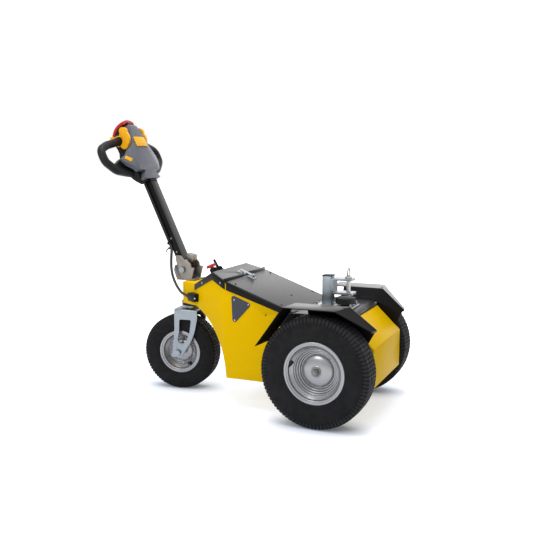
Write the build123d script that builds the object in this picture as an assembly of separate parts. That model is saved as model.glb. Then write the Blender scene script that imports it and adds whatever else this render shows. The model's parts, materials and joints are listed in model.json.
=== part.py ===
from build123d import *
import math
import os

# Walk-behind battery tug: two driven wheels under fenders, a castor in front, a tiller
# and a drop-pin hitch on a post.  Millimetres, +X forward (castor end), +Y left, +Z up.
# Every X below is measured from the rear axle; the finished pieces are shifted at the end
# so that the origin is on the floor under the middle of the whole machine.

# ---- driving dimensions ----------------------------------------------------------------
sheet = 3.0                 # yellow body sheet
cover_sheet = 2.5           # black covers and fenders
seat_gap = 0.3              # between curved faces that seat on each other

# body outline (side view)
body_half_width = 187.0     # outside of the yellow side panels
floor_z = 115.0             # underside of the side panels
rear_floor_z = 137.0        # underside of the rear panel
floor_rise_x = -140.0       # where the floor starts to rise to the rear panel
rear_face_x = -183.0
rear_bend_z = 281.0         # the rear panel bends forward here
deck_z = 390.0              # top of the level rear deck
deck_rear_x = -70.0
hinge_x = 120.0             # lid hinge line, front end of the deck
peak_x, peak_z = 471.0, 516.0
fold_x = 405.0              # the side panels fold inwards from here to the nose
nose_x = 652.0              # front face of the nose
nose_half_width = 67.0
nose_top_z = 457.0
nose_bottom_z = 370.0
nose_length = 75.0          # from the front cover's end to the front face
cover_front_x = nose_x - nose_length    # front end of the sloping front cover
cover_front_z = 456.0
arch_front_x = cover_front_x - 11       # castor arch: level under the nose to here,
arch_mid_x, arch_mid_z = 470.0, 302.0   # then an arc through this point
arch_foot_x, arch_foot_z = 403.0, 167.0  # down to here
floor_front_x = arch_foot_x - 6
edge_round = 8.0            # outer radius of the covers' bent edges
deck_flange = 12.0          # turned-down edge of the rear deck
lid_flange_rear, lid_flange_front = 21.0, 32.0      # of the lid, from its hinge forwards
nose_flange = 24.0          # of the front cover at its low end
deck_tail = 18.0            # the rear deck's tail, down the rear slope
lid_gap = 5.0               # open gaps in front of and behind the lid
lid_front_x = 397.5         # middle of the gap in front of the lid
lip_width, lip_height = 9.0, 8.0        # rolled lip along the front cover's rear edge
latch_half_width = 14.0

# drive wheels
wheel_radius = 203.0
wheel_width = 106.0
tyre_gap = 15.5             # between tyre and side panel
wheel_y = body_half_width + tyre_gap + wheel_width / 2   # middle plane of a drive wheel
rim_flange_radius = 113.4
bead_radius = 101.6
rim_half_width = 44.0
rim_sheet = 3.0
axle_radius = 32.0
axle_bore = 12.6
axle_end_y = body_half_width + 18
spindle_radius = 12.5
dish_depth = 46.0           # from the rim's face down to the foot of its dome
dome_rise = 17.0

# castor
swivel_x = nose_x - 4
castor_trail = 44.0
castor_turn = 8.4           # degrees, as it stands
castor_radius = 156.0
castor_width = 92.0
castor_flange_radius = 88.9
castor_bead_radius = 76.2
castor_rim_half = 38.0
fork_half_width = 60.0
fork_sheet = 6.0
fork_top_z = 340.0
fork_front, fork_rear = 57.0, -40.0     # ends of the fork's top plate, from the swivel
bearing_height = 18.0
castor_axle_radius = 8.0
kingpin_radius = 12.0

# tiller
pivot_x, pivot_z = nose_x + 17, nose_top_z + 43
tiller_lean = 25.0          # degrees forward of upright, as it stands
arm_width = 50.0
arm_depth = 30.0
arm_foot = -26.0            # along the arm from the pivot
arm_top = 440.0
pivot_bolt_radius = 8.0
bracket_half_width = 40.0
bracket_sheet = 6.0
head_half_width = 134.0     # out to the tips of the head's wings
head_flank = 48.0           # flat flanks of the lower shell, beside the throttles
handle_radius = 16.5
handle_reach = 200.0        # out to the middle of the handle's outer run
button_radius = 82.0        # the emergency button is part of a ball
button_half_width = 38.0
cable_radius = 5.5
clip_at = 118.5             # along the arm, where the free cable is held

# hitch
post_x = 52.0
post_side = 39.0
post_wall = 4.0
post_top_z = 506.0
base_plate = 6.0
base_half_width = 52.0
clevis_sheet = 8.0
clevis_top_z = 501.0
clevis_low_z = 448.0        # top of the lower plate
clevis_reach_top = -48.0
clevis_reach_low = -52.0
clevis_half_width = 27.0
pin_x = -28.0
pin_radius = 8.0
buffer_x, buffer_radius = -17.0, 38.0

# fenders
fender_top_z = 434.0
fender_outer_y = wheel_y + wheel_width / 2 + 9.5
fender_inner_y = body_half_width + 27
fender_front_x, fender_rear_x = 111.0, -82.0    # ends of its level top, outer edge
fender_nose_x, fender_nose_z = 217.0, 286.0     # low edge of its front slope
fender_tail_x, fender_tail_z = -172.0, 357.0    # low edge of its rear slope, in line with the outer edge
fender_skew_front, fender_skew_rear = 0.1, 0.2  # set-back of these edges per width, going inwards
fender_tail_in, fender_tail_out = body_half_width + 11, body_half_width + 49
fender_sheet = 3.0
skirt_front_x, skirt_low_x, skirt_low_z = 159.0, 171.0, 346.0
tail_low_x, tail_low_z = -160.0, 295.0  # where the tail's edge meets the body side

# switches and battery
switch_x = 521.0
isolator_y, key_y = 32.0, -14.0
battery_length, battery_height = 195.0, 230.0

os.makedirs("parts", exist_ok=True)
PARTS = {}


def keep(name, shape):
    """Store a finished piece under its node's name."""
    PARTS[name] = shape


def cover_line(x):
    """Height of the covers' upper face at x."""
    if x >= peak_x:
        return peak_z + (cover_front_z - peak_z) * (x - peak_x) / (cover_front_x - peak_x)
    if x >= hinge_x:
        return deck_z + (peak_z - deck_z) * (x - hinge_x) / (peak_x - hinge_x)
    return deck_z


def side_profile(*points):
    """A closed face in the XZ plane from (x, z) points."""
    return make_face(Polyline(*[(x, 0, z) for x, z in points], close=True))


def prism_y(face, y0, y1):
    """The XZ face extruded from y0 to y1."""
    return Pos(0, y0, 0) * extrude(face, y1 - y0, dir=(0, 1, 0))


def cyl_y(radius, y0, y1, x=0.0, z=0.0):
    """A cylinder along Y."""
    return Pos(x, (y0 + y1) / 2, z) * Rot(90, 0, 0) * Cylinder(radius, abs(y1 - y0))


def cyl_z(radius, z0, z1, x=0.0, y=0.0):
    """A cylinder along Z."""
    return Pos(x, y, (z0 + z1) / 2) * Cylinder(radius, z1 - z0)


def block(x0, x1, y0, y1, z0, z1):
    """A box between two corners."""
    return Pos((x0 + x1) / 2, (y0 + y1) / 2, (z0 + z1) / 2) * Box(x1 - x0, y1 - y0, z1 - z0)


def mirrored(shape):
    """The piece for the other side of the machine."""
    return mirror(shape, about=Plane.XZ)


# ---- body --------------------------------------------------------------------------------
taper = math.atan2(body_half_width - nose_half_width, nose_x - fold_x)


def plan_face(inset):
    """The body's outline seen from above, inset (or, if negative, grown) by that much."""
    half = body_half_width - inset
    # the inset line of the tapered side meets the inset straight side ahead of the fold
    fold = fold_x - inset * math.tan(taper / 2)
    tip = nose_half_width - inset / math.cos(taper)
    rear = rear_face_x + max(inset, 0)
    pts = [(rear, half), (fold, half), (nose_x, tip), (nose_x, -tip), (fold, -half), (rear, -half)]
    return make_face(Polyline(*[(x, y, 0) for x, y in pts], close=True))


def plan_prism(inset):
    return extrude(plan_face(inset), 700)


def arch_edge(offset):
    """The castor arch in the XZ plane, moved outwards (up and back) by offset."""
    front = (arch_front_x, 0, nose_bottom_z + offset)
    mid = (arch_mid_x - 0.8 * offset, 0, arch_mid_z + 0.6 * offset)
    foot = (arch_foot_x - offset, 0, arch_foot_z)
    return front, mid, foot


def body_silhouette(drop):
    """Side view of the yellow body, its top edge 'drop' below the covers' upper face."""
    front, mid, foot = arch_edge(0)
    top = Polyline(
        foot, (floor_front_x, 0, floor_z), (floor_rise_x, 0, floor_z),
        (rear_face_x, 0, rear_floor_z), (rear_face_x, 0, rear_bend_z),
        (deck_rear_x, 0, deck_z - drop), (hinge_x, 0, deck_z - drop),
        (peak_x, 0, peak_z - drop), (cover_front_x, 0, cover_front_z - drop),
        (cover_front_x, 0, nose_top_z - sheet), (nose_x, 0, nose_top_z - sheet),
        (nose_x, 0, nose_bottom_z), front)
    return make_face([top, ThreePointArc(front, mid, foot)])


def body_sides():
    band = plan_prism(0) - plan_prism(sheet)
    silhouette = prism_y(body_silhouette(edge_round + 0.5), -300, 300)
    shell = band & silhouette
    # the two sides only: the rear face and the nose face are pieces of their own
    middle = block(rear_face_x - 1, nose_x + 1, -nose_half_width + sheet + 1.5,
                   nose_half_width - sheet - 1.5, 0, 700)
    rear = block(rear_face_x - 1, rear_face_x + sheet, -400, 400, 0, 700)
    shell = shell - middle - rear
    for side in (1, -1):
        shell -= cyl_y(axle_radius + 1.5, side * 150, side * 230, 0, wheel_radius)
    shell -= cyl_y(3.2, 150, 230, 231, 373)
    left = shell & block(-300, 800, 0, 300, 0, 700)
    right = shell & block(-300, 800, -300, 0, 0, 700)
    keep("side_panel_left", left)
    keep("side_panel_right", right)


def rear_panel():
    run = deck_rear_x - rear_face_x
    rise = deck_z - rear_bend_z
    slope = math.atan2(rise, run)
    inner = sheet * math.tan((math.pi / 2 - slope) / 2)
    top_x = deck_rear_x - deck_tail - 2
    top_z = rear_bend_z + (top_x - rear_face_x) * rise / run
    outline = side_profile(
        (rear_face_x, rear_floor_z), (rear_face_x, rear_bend_z), (top_x, top_z),
        (top_x + sheet * math.sin(slope), top_z - sheet * math.cos(slope)),
        (rear_face_x + sheet, rear_bend_z - inner), (rear_face_x + sheet, rear_floor_z))
    half = body_half_width - sheet
    upright = prism_y(outline, -half, half)
    # the upright part covers the side panels' rear edges
    ears = block(rear_face_x, rear_face_x + sheet, -body_half_width, body_half_width,
                 rear_floor_z, rear_bend_z - inner)
    keep("rear_panel", upright + ears)


def floor_tray():
    outline = side_profile(
        (floor_front_x, floor_z), (floor_rise_x, floor_z),
        (rear_face_x + sheet, rear_floor_z), (rear_face_x + sheet, rear_floor_z + sheet),
        (floor_rise_x, floor_z + sheet), (floor_front_x, floor_z + sheet))
    keep("floor_tray", prism_y(outline, -body_half_width + sheet, body_half_width - sheet))


def castor_arch():
    """Curved sheet that closes the body behind the castor."""
    front, mid, foot = arch_edge(0)
    front2, mid2, foot2 = arch_edge(sheet)
    low, low2 = (floor_front_x, 0, floor_z + sheet), (floor_front_x - sheet, 0, floor_z + sheet)
    edges = [ThreePointArc(front, mid, foot), Line(foot, low), Line(low, low2),
             Line(low2, foot2), ThreePointArc(foot2, mid2, front2), Line(front2, front)]
    sheet_band = prism_y(make_face(edges), -300, 300)
    keep("castor_arch", sheet_band & plan_prism(sheet))


def nose_box():
    """Castor plate, front plate and top plate of the nose, in one weldment."""
    solid = plan_prism(sheet) & block(cover_front_x + 0.5, nose_x, -200, 200,
                                      nose_bottom_z, nose_top_z - sheet)
    cavity = block(cover_front_x - 5, nose_x - 5, -200, 200, nose_bottom_z + 8, nose_top_z)
    weldment = solid - cavity
    top = plan_prism(0) & block(cover_front_x + 0.5, nose_x, -200, 200,
                                nose_top_z - sheet, nose_top_z)
    keep("nose_box", weldment + top)


def cover_skin(x0, x1, depth0, depth1):
    """The part of a cover between x0 and x1: its skin and its two bent-down edges."""
    grow = cover_sheet + seat_gap
    xs = [x for x in (hinge_x, peak_x) if x0 < x < x1]
    stations = [x0] + xs + [x1]

    def filled(inset, extra):
        """The space under the upper face, inset on top and sides and let down by extra."""
        upper = [(x, cover_line(x) - inset) for x in stations]
        under = [(x, cover_line(x) - extra - depth0 - (depth1 - depth0) * (x - x0) / (x1 - x0))
                 for x in reversed(stations)]
        body = prism_y(side_profile(*(upper + under)), -300, 300) & plan_prism(inset - grow)
        bends = [e for e in body.edges() if abs(e.center().Y) > nose_half_width / 2
                 and abs(e.center().Z - cover_line(e.center().X) + inset) < 0.1]
        return fillet(bends, edge_round - inset)

    return filled(0, 0) - filled(cover_sheet, 1)


def covers():
    start = lid_front_x + lid_gap / 2
    front = cover_skin(start, cover_front_x, lid_flange_front, nose_flange)
    foot, crest = cover_line(start) - cover_sheet, cover_line(start) + lip_height
    lip = make_face([
        Line((start, 0, foot), (start, 0, crest - lip_width / 2)),
        ThreePointArc((start, 0, crest - lip_width / 2), (start + lip_width / 2, 0, crest),
                      (start + lip_width, 0, crest - lip_width / 2)),
        Line((start + lip_width, 0, crest - lip_width / 2), (start + lip_width, 0, foot)),
        Line((start + lip_width, 0, foot), (start, 0, foot))])
    lip = prism_y(lip, -300, 300) & plan_prism(edge_round / 2 - cover_sheet)
    # the lip stops short of the latch
    notch = latch_half_width + 6
    front += lip - block(start - 1, start + lip_width + 1, -notch, notch,
                         foot + cover_sheet / 2, crest + 1)
    # gutter under the open gap behind the lip
    gap_low = cover_sheet + 6
    wide = body_half_width - sheet - 5
    gutter = side_profile(
        (start, foot), (start + cover_sheet, foot), (start + cover_sheet, foot - 6 - cover_sheet),
        (start - 16, cover_line(start - 16) - gap_low - cover_sheet),
        (start - 16, cover_line(start - 16) - gap_low), (start, cover_line(start) - gap_low))
    keep("front_cover", front + prism_y(gutter, -wide, wide))
    keep("battery_lid", cover_skin(hinge_x + lid_gap / 2, lid_front_x - lid_gap / 2,
                                   lid_flange_rear, lid_flange_front))
    # rear deck with its sloping tail over the rear panel
    deck = cover_skin(deck_rear_x, hinge_x - lid_gap / 2, deck_flange, deck_flange)
    run, rise = deck_rear_x - rear_face_x, deck_z - rear_bend_z
    tail_x = deck_rear_x - deck_tail
    tail_z = deck_z - (deck_rear_x - tail_x) * rise / run
    lift = 0.8
    tail = side_profile((deck_rear_x, deck_z - cover_sheet), (tail_x, tail_z + lift),
                        (tail_x - 1.8, tail_z + lift + 1.8), (deck_rear_x, deck_z))
    keep("rear_deck", deck + prism_y(tail, -body_half_width, body_half_width))


def hinge():
    """Rod in the gap behind the lid, on three feet from the deck's edge."""
    z = deck_z - 1.0
    hinge_rod = cyl_y(2.1, -150, 150, hinge_x, z)
    for y in (-120, 0, 120):
        hinge_rod += block(hinge_x - lid_gap / 2, hinge_x, y - 12, y + 12, z - 1.4, z + 0.4)
    keep("lid_hinge", hinge_rod)


# ---- drive wheels -------------------------------------------------------------------------
def ring_profile(points):
    """A face in the XY plane, X the radius and Y along the axle, to be turned about Y."""
    return make_face(Polyline(*[(r, y, 0) for r, y in points], close=True))


def turned(face):
    return revolve(face, Axis.Y)


def tyre(radius, width, flange, bead, rim_half, crown):
    """Tyre section: bead seats, bulged walls, rounded shoulders, slightly domed tread."""
    half = width / 2
    tread = crown / 2
    wall_r = (radius + flange) / 2 - 4
    shoulder = radius - 0.14 * (radius - flange)
    bead_y = rim_half - rim_sheet - 0.4
    outline = [
        Line((bead + 0.4, -bead_y), (bead + 0.4, bead_y)),
        Line((bead + 0.4, bead_y), (flange + 0.5, bead_y)),
        Line((flange + 0.5, bead_y), (flange + 1.5, rim_half + 1)),
        ThreePointArc((flange + 1.5, rim_half + 1), (wall_r, half), (shoulder, half - 5)),
        ThreePointArc((shoulder, half - 5), (radius - 3.5, (half + tread) / 2 + 1), (radius - 1.5, tread)),
        ThreePointArc((radius - 1.5, tread), (radius, 0), (radius - 1.5, -tread)),
        ThreePointArc((radius - 1.5, -tread), (radius - 3.5, -(half + tread) / 2 - 1), (shoulder, -half + 5)),
        ThreePointArc((shoulder, -half + 5), (wall_r, -half), (flange + 1.5, -rim_half - 1)),
        Line((flange + 1.5, -rim_half - 1), (flange + 0.5, -bead_y)),
        Line((flange + 0.5, -bead_y), (bead + 0.4, -bead_y)),
    ]
    return turned(make_face(outline))


def rim(flange, bead, half, hub_r, depth, dome_r, rise):
    """Rim barrel with stepped lips, and a funnelled disc with a domed middle; +Y is outside."""
    t = rim_sheet
    well = bead - 16
    barrel = [(bead, -half + t), (flange, -half + t), (flange, -half), (bead - t, -half),
              (bead - t, -half + 14), (well, -half + 22), (well, half - 24), (bead - t, half - 14),
              (bead - t, half - 5), (flange - 9, half - 4), (flange - 8, half), (flange, half),
              (flange, half - t), (bead, half - t), (bead, half - 13), (well + 3, half - 22),
              (well + 3, -half + 22), (bead, -half + 13)]
    foot = half - depth
    step = (well - dome_r - 6) / 3
    shelf = (half - 28 - foot) / 3
    # three steps down the funnel, a groove, then the dome
    upper = [(well + 0.5, foot + 3 * shelf)]
    for i in (2, 1, 0):
        upper += [(dome_r + 5 + (i + 0.75) * step, foot + (i + 0.9) * shelf),
                  (dome_r + 5 + i * step, foot + i * shelf)]
    upper += [(dome_r + 1, foot), (dome_r, foot + 4), (0.8 * dome_r, foot + 0.55 * rise),
              (0.55 * dome_r, foot + 0.85 * rise), (0.32 * dome_r, foot + rise), (hub_r, foot + rise)]
    disc = upper + [(r, y - t) for r, y in reversed(upper)]
    return turned(ring_profile(barrel)) + turned(ring_profile(disc))


def drive_wheels():
    tyre_solid = tyre(wheel_radius, wheel_width, rim_flange_radius, bead_radius, rim_half_width, 70)
    rim_solid = rim(rim_flange_radius, bead_radius, rim_half_width, spindle_radius + 0.1,
                    dish_depth, 61, dome_rise)
    seat = rim_half_width - dish_depth + dome_rise
    # hub: flange behind the disc, spindle into the axle tube, washer and nut outside
    inner_end = axle_end_y - wheel_y
    hub = cyl_y(19, seat - rim_sheet - 10, seat - rim_sheet)
    hub += cyl_y(spindle_radius, inner_end - 30, seat + 3)
    hub += cyl_y(9, seat, seat + 22)
    hub += cyl_y(19, inner_end + 4, seat - rim_sheet - 9)
    hub += cyl_y(18, seat, seat + 3)
    hub += Pos(0, seat + 9, 0) * Rot(90, 0, 0) * extrude(RegularPolygon(13, 6), 6, both=True)
    for side, name in ((1, "left"), (-1, "right")):
        place = Pos(0, side * wheel_y, wheel_radius) * Rot(0, 0, 0 if side == 1 else 180)
        keep("drive_tyre_" + name, place * tyre_solid)
        keep("drive_rim_" + name, place * rim_solid)
        keep("drive_hub_" + name, place * hub)


def drive_axle():
    """Axle tube with its gearbox and motor, one unit."""
    tube = cyl_y(axle_radius, -axle_end_y, axle_end_y)
    flange_y = body_half_width - sheet
    for side in (1, -1):
        tube += cyl_y(axle_radius + 20, side * (flange_y - 8), side * flange_y)
        tube -= cyl_y(axle_bore - 0.04, side * (axle_end_y - 34), side * (axle_end_y + 1))
    case = cyl_y(72, -62, 62)
    motor = Pos(105, 0, 0) * Rot(0, 90, 0) * Cylinder(56, 140)
    keep("drive_axle", Pos(0, 0, wheel_radius) * (tube + case + motor))


# ---- castor ---------------------------------------------------------------------------------
castor_place = Pos(swivel_x, 0, 0) * Rot(0, 0, castor_turn)


def castor():
    place = castor_place * Pos(castor_trail, 0, castor_radius)
    tyre_solid = tyre(castor_radius, castor_width, castor_flange_radius, castor_bead_radius,
                      castor_rim_half, 56)
    rim_solid = rim(castor_flange_radius, castor_bead_radius, castor_rim_half,
                    castor_axle_radius + 6, castor_rim_half - 8, 47, 10)
    leg_in = fork_half_width - fork_sheet
    hub = cyl_y(castor_axle_radius + 7, -leg_in + 5, leg_in - 5)
    hub -= cyl_y(castor_axle_radius + 0.05, -100, 100)
    keep("castor_tyre", place * tyre_solid)
    keep("castor_rim", place * (rim_solid + hub))
    half = fork_half_width
    bolt = cyl_y(castor_axle_radius, -half - 9, half + 1)
    for y, thick in ((half + 4, 4), (-half - 5, 5)):
        bolt += Pos(0, y, 0) * Rot(90, 0, 0) * extrude(RegularPolygon(13, 6), thick, both=True)
    keep("castor_axle", place * bolt)

    # fork, in its own frame: X forward from the swivel, legs at +Y and -Y
    foot_z = castor_radius - 18
    axle_x = castor_trail
    leg_outline = [
        Line((fork_rear, 0, fork_top_z), (fork_front, 0, fork_top_z)),
        Line((fork_front, 0, fork_top_z), (fork_front, 0, 257)),
        ThreePointArc((fork_front, 0, 257), (61.5, 0, 208), (axle_x + 26, 0, foot_z + 7)),
        ThreePointArc((axle_x + 26, 0, foot_z + 7), (axle_x + 25, 0, foot_z + 2), (axle_x + 19, 0, foot_z)),
        Line((axle_x + 19, 0, foot_z), (axle_x - 14, 0, foot_z)),
        ThreePointArc((axle_x - 14, 0, foot_z), (axle_x - 18, 0, foot_z + 1), (axle_x - 21, 0, foot_z + 5)),
        Line((axle_x - 21, 0, foot_z + 5), (8, 0, 171)),
        ThreePointArc((8, 0, 171), (-27, 0, 237), (fork_rear, 0, 310)),
        Line((fork_rear, 0, 310), (fork_rear, 0, fork_top_z)),
    ]
    leg = make_face(leg_outline)
    window = side_profile((-16, 297), (35, 297), (37, 247), (44, 212), (38, 198), (20, 196),
                          (5, 211), (-9, 246))
    window_y = prism_y(window, -100, 100)
    window_y = fillet(window_y.edges().filter_by(Axis.Y), 6)
    legs = prism_y(leg, half - fork_sheet, half) + prism_y(leg, -half, -half + fork_sheet)
    plate = block(fork_rear, fork_front, -half, half, fork_top_z - fork_sheet, fork_top_z)
    fork = legs + plate
    bends = fork.edges().filter_by(Axis.X)
    fork = fillet([e for e in bends if e.center().Z > fork_top_z - 0.1], fork_sheet + 2)
    fork -= window_y
    fork -= cyl_y(castor_axle_radius + 0.2, -100, 100, castor_trail, castor_radius)
    bearing_low = nose_bottom_z - bearing_height
    fork += cyl_z(26, fork_top_z - 1, bearing_low - seat_gap)
    fork -= cyl_z(kingpin_radius + 0.05, 300, 400)
    keep("castor_fork", castor_place * fork)

    nut_z = fork_top_z - fork_sheet - 12
    top = cyl_z(42, bearing_low, nose_bottom_z, swivel_x)
    top += cyl_z(kingpin_radius, nut_z, bearing_low, swivel_x)
    top += Pos(swivel_x, 0, nut_z) * extrude(RegularPolygon(19, 6), 11)
    keep("castor_bearing", top)


# ---- tiller --------------------------------------------------------------------------------
tiller_place = Pos(pivot_x, 0, pivot_z) * Rot(0, tiller_lean, 0)


def tiller_bracket():
    """Notched cradle on the nose: base plate and two cheeks, each of two lapped plates."""
    half = bracket_half_width
    low = nose_top_z - pivot_z

    def cheek(y_outer, *points):
        face = side_profile(*[(pivot_x + x, pivot_z + z) for x, z in points])
        return prism_y(face, y_outer - bracket_sheet, y_outer) \
            + prism_y(face, -y_outer, -y_outer + bracket_sheet)

    rear = cheek(half, (-40, low), (3, low), (24.5, 21), (30, 37), (30, 58), (8, 57), (-8, 41), (-18, 43),
                 (-36.5, 25.5), (-38.5, 11), (-54, 9))
    front = cheek(half - 2, (2, low), (27, low), (42, -4), (37, 15), (24, 22), (17, 0))
    base = block(pivot_x - 58, pivot_x + 27, -half, half, nose_top_z, nose_top_z + bracket_sheet)
    bracket = rear + front + base
    bracket -= cyl_y(pivot_bolt_radius + 0.2, -100, 100, pivot_x, pivot_z)
    keep("tiller_bracket", bracket)
    bolt = cyl_y(pivot_bolt_radius, -half - 1, half + 1, pivot_x, pivot_z)
    for side in (1, -1):
        bolt += Pos(pivot_x, side * (half + 4), pivot_z) * Rot(90, 0, 0) \
            * extrude(RegularPolygon(13, 6), 4, both=True)
    keep("tiller_pivot_bolt", bolt)


def tiller_arm():
    outer = block(-arm_depth / 2, arm_depth / 2, -arm_width / 2, arm_width / 2, arm_foot, arm_top)
    inner = block(-arm_depth / 2 + 3, arm_depth / 2 - 3, -arm_width / 2 + 3, arm_width / 2 - 3,
                  25, arm_top + 1)
    arm = outer - inner
    arm = arm - cyl_y(pivot_bolt_radius + 0.05, -100, 100)
    boss = cyl_y(16, -bracket_half_width + bracket_sheet + 1, bracket_half_width - bracket_sheet - 1)
    boss -= cyl_y(pivot_bolt_radius + 0.05, -100, 100)
    keep("tiller_arm", tiller_place * (arm + boss))
    back = -arm_depth / 2
    lever = side_profile((back, 36), (back - 21, 56), (back - 45, 38), (back - 40, 22),
                         (back - 22, 14), (back, 22))
    keep("tiller_lock_lever", tiller_place * prism_y(lever, -16, 16))


def head():
    """Tiller head, in the arm's frame: X forward (underside), Z along the arm."""
    k = head_half_width / 134.0
    foot = arm_top - 40         # the head's lower end, slid over the arm

    def plan(points, x0=-80, x1=80):
        """An outline of (y, distance from the head's foot), as a prism along X."""
        face = make_face(Polyline(*[(0, k * y, foot + k * t) for y, t in points], close=True))
        return Pos(x0, 0, 0) * extrude(face, x1 - x0, dir=(1, 0, 0))

    def both_sides(half_outline):
        return half_outline + [(-y, t) for y, t in reversed(half_outline)]

    def side(*points):
        """A side view of (x, distance from the foot), as a prism across the head."""
        return prism_y(side_profile(*[(k * x, foot + k * t) for x, t in points]), -300, 300)

    def roof(lift):
        """Everything under the arched upper face, raised by lift."""
        tip = (k * 6 - lift, head_half_width, 0)
        far_tip = (k * 6 - lift, -head_half_width, 0)
        arch = ThreePointArc(far_tip, (-k * 28 - lift, 0, 0), tip)
        under = Polyline(tip, (k * 80, head_half_width, 0), (k * 80, -head_half_width, 0), far_tip)
        return Pos(0, 0, foot - 10) * extrude(make_face([arch, under]), k * 300)

    grip = arm_width / 2 + seat_gap
    socket = block(-arm_depth / 2 - seat_gap, arm_depth / 2 + seat_gap, -grip, grip,
                   foot - 20, arm_top + seat_gap)

    # emergency button: a strip of a ball, over the head's end
    ball = Pos(k * 5, 0, foot + k * 185)
    button_low = foot + k * 221
    button = ball * (Sphere(button_radius) - Sphere(button_radius - 10))
    button = button & block(-9 * k, 120, -button_half_width, button_half_width, button_low, 900)
    keep("belly_button", tiller_place * button)
    beyond = block(-100, 150, -100, 100, button_low - 8, 900)
    beyond -= ball * Sphere(button_radius - 10 - seat_gap)

    # throttles: a crescent for the thumb and a tab for the finger on a ring round the handle
    root_x, root_t = k * 35.2, foot + k * 188.7
    throttle_in = head_flank + 6.5
    rocker = make_face([
        ThreePointArc((0, 0, 630), (-17, 0, 627), (-24, 0, 612)),
        ThreePointArc((-24, 0, 612), (-22, 0, 603), (-24, 0, 594)),
        ThreePointArc((-24, 0, 594), (-22, 0, 574), (-7, 0, 553)),
        ThreePointArc((-7, 0, 553), (13, 0, 544), (27, 0, 563)),
        Line((27, 0, 563), (15, 0, 570)),
        ThreePointArc((15, 0, 570), (4, 0, 586), (8, 0, 607)),
        ThreePointArc((8, 0, 607), (9, 0, 619), (0, 0, 630))])
    rocker = Pos(0, 0, foot - 400 * k) * scale(rocker, k)
    crescent = prism_y(rocker, throttle_in, throttle_in + 14)
    ring = cyl_y(23, head_flank, throttle_in + 3, root_x, root_t)
    ring += cyl_y(30, throttle_in, throttle_in + 3, root_x, root_t) & block(-50, root_x - 15, 0, 100, 0, 900)
    tab = side_profile((root_x + 12, root_t + 12), (root_x + 31, root_t + 18),
                       (root_x + 28, root_t + 31), (root_x + 8, root_t + 24))
    ring += prism_y(tab, head_flank + 2, throttle_in + 8)
    ring -= cyl_y(handle_radius + 2.2, 0, 100, root_x, root_t)
    throttle = crescent + ring
    keep("throttle_left", tiller_place * throttle)
    keep("throttle_right", tiller_place * mirrored(throttle))

    # grey cover: arched roof with a wing on each side
    wings = plan(both_sides([
        (20, 242), (30, 218), (45, 184), (52, 157), (66, 141), (97, 114), (134, 99), (131, 88), (98, 60),
        (74, 40), (34, 37), (44, 22), (56, 5), (44, 0)]))
    profile = side((-18, 0), (-19, 40), (-28, 120), (-28, 200), (-24, 233), (-15, 243), (22, 250),
                   (22, 222), (6, 212), (4, 160), (14, 100), (14, 70), (4, 50), (6, 0))
    pocket = prism_y(offset(rocker, 1.5), throttle_in - 1.5, 100)
    cover = (wings & profile & roof(0)) - socket - beyond - pocket - mirrored(pocket)
    wing_switch = plan([(112, 106), (122, 95), (100, 76.5), (88, 88)])
    cover -= wing_switch & (roof(1) - roof(-3))
    keep("tiller_head_cover", tiller_place * cover)
    button_plan = plan(both_sides([(39, 138), (39, 180)]))
    keep("head_button", tiller_place * (button_plan & (roof(4) - roof(seat_gap))))
    keep("head_switch", tiller_place * (wing_switch & (roof(2) - roof(-3 + seat_gap))))

    # black lower shell
    low_plan = plan(both_sides([(40, 260), (head_flank / k, 215), (head_flank / k, 145), (64, 118),
                                (72, 100), (66, 40), (56, 10), (36, -8)]))
    low_side = side((6.3, 0), (-18, -8), (26, -8), (44, 32), (58, 90), (60, 160), (68, 212), (68, 270),
                    (22.3, 270), (22.3, 221.7), (6.3, 211.7), (4.3, 160), (14.3, 100), (14.3, 70), (4.3, 50))
    shell = (low_plan & low_side) - socket - beyond
    keep("tiller_head_shell", tiller_place * shell)

    # each handle: a bar bent round to the shell, its lower run on a thick web
    route = [(34, 30, 593), (40, 146, 571), (40, handle_reach, 550), (40, handle_reach, 500),
             (39, 150, 460), (32, 34, 439)]
    route = [(k * x, y if y == handle_reach else k * y, foot + k * (t - 400)) for x, y, t in route]
    path = FilletPolyline(*route, radius=[60, 32, 32, 60])
    section = Plane(path @ 0, z_dir=path % 0) * Circle(handle_radius)
    web = plan([(60, 116), (100, 110), (146, 87), (167, 80), (140, 56), (100, 47), (50, 40)],
               k * 26, k * 50)
    loop = sweep(section, path) + web - low_plan - cover
    loop = max(loop.solids(), key=lambda s: s.volume)
    keep("handle_left", tiller_place * loop)
    keep("handle_right", tiller_place * mirrored(loop))


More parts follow.
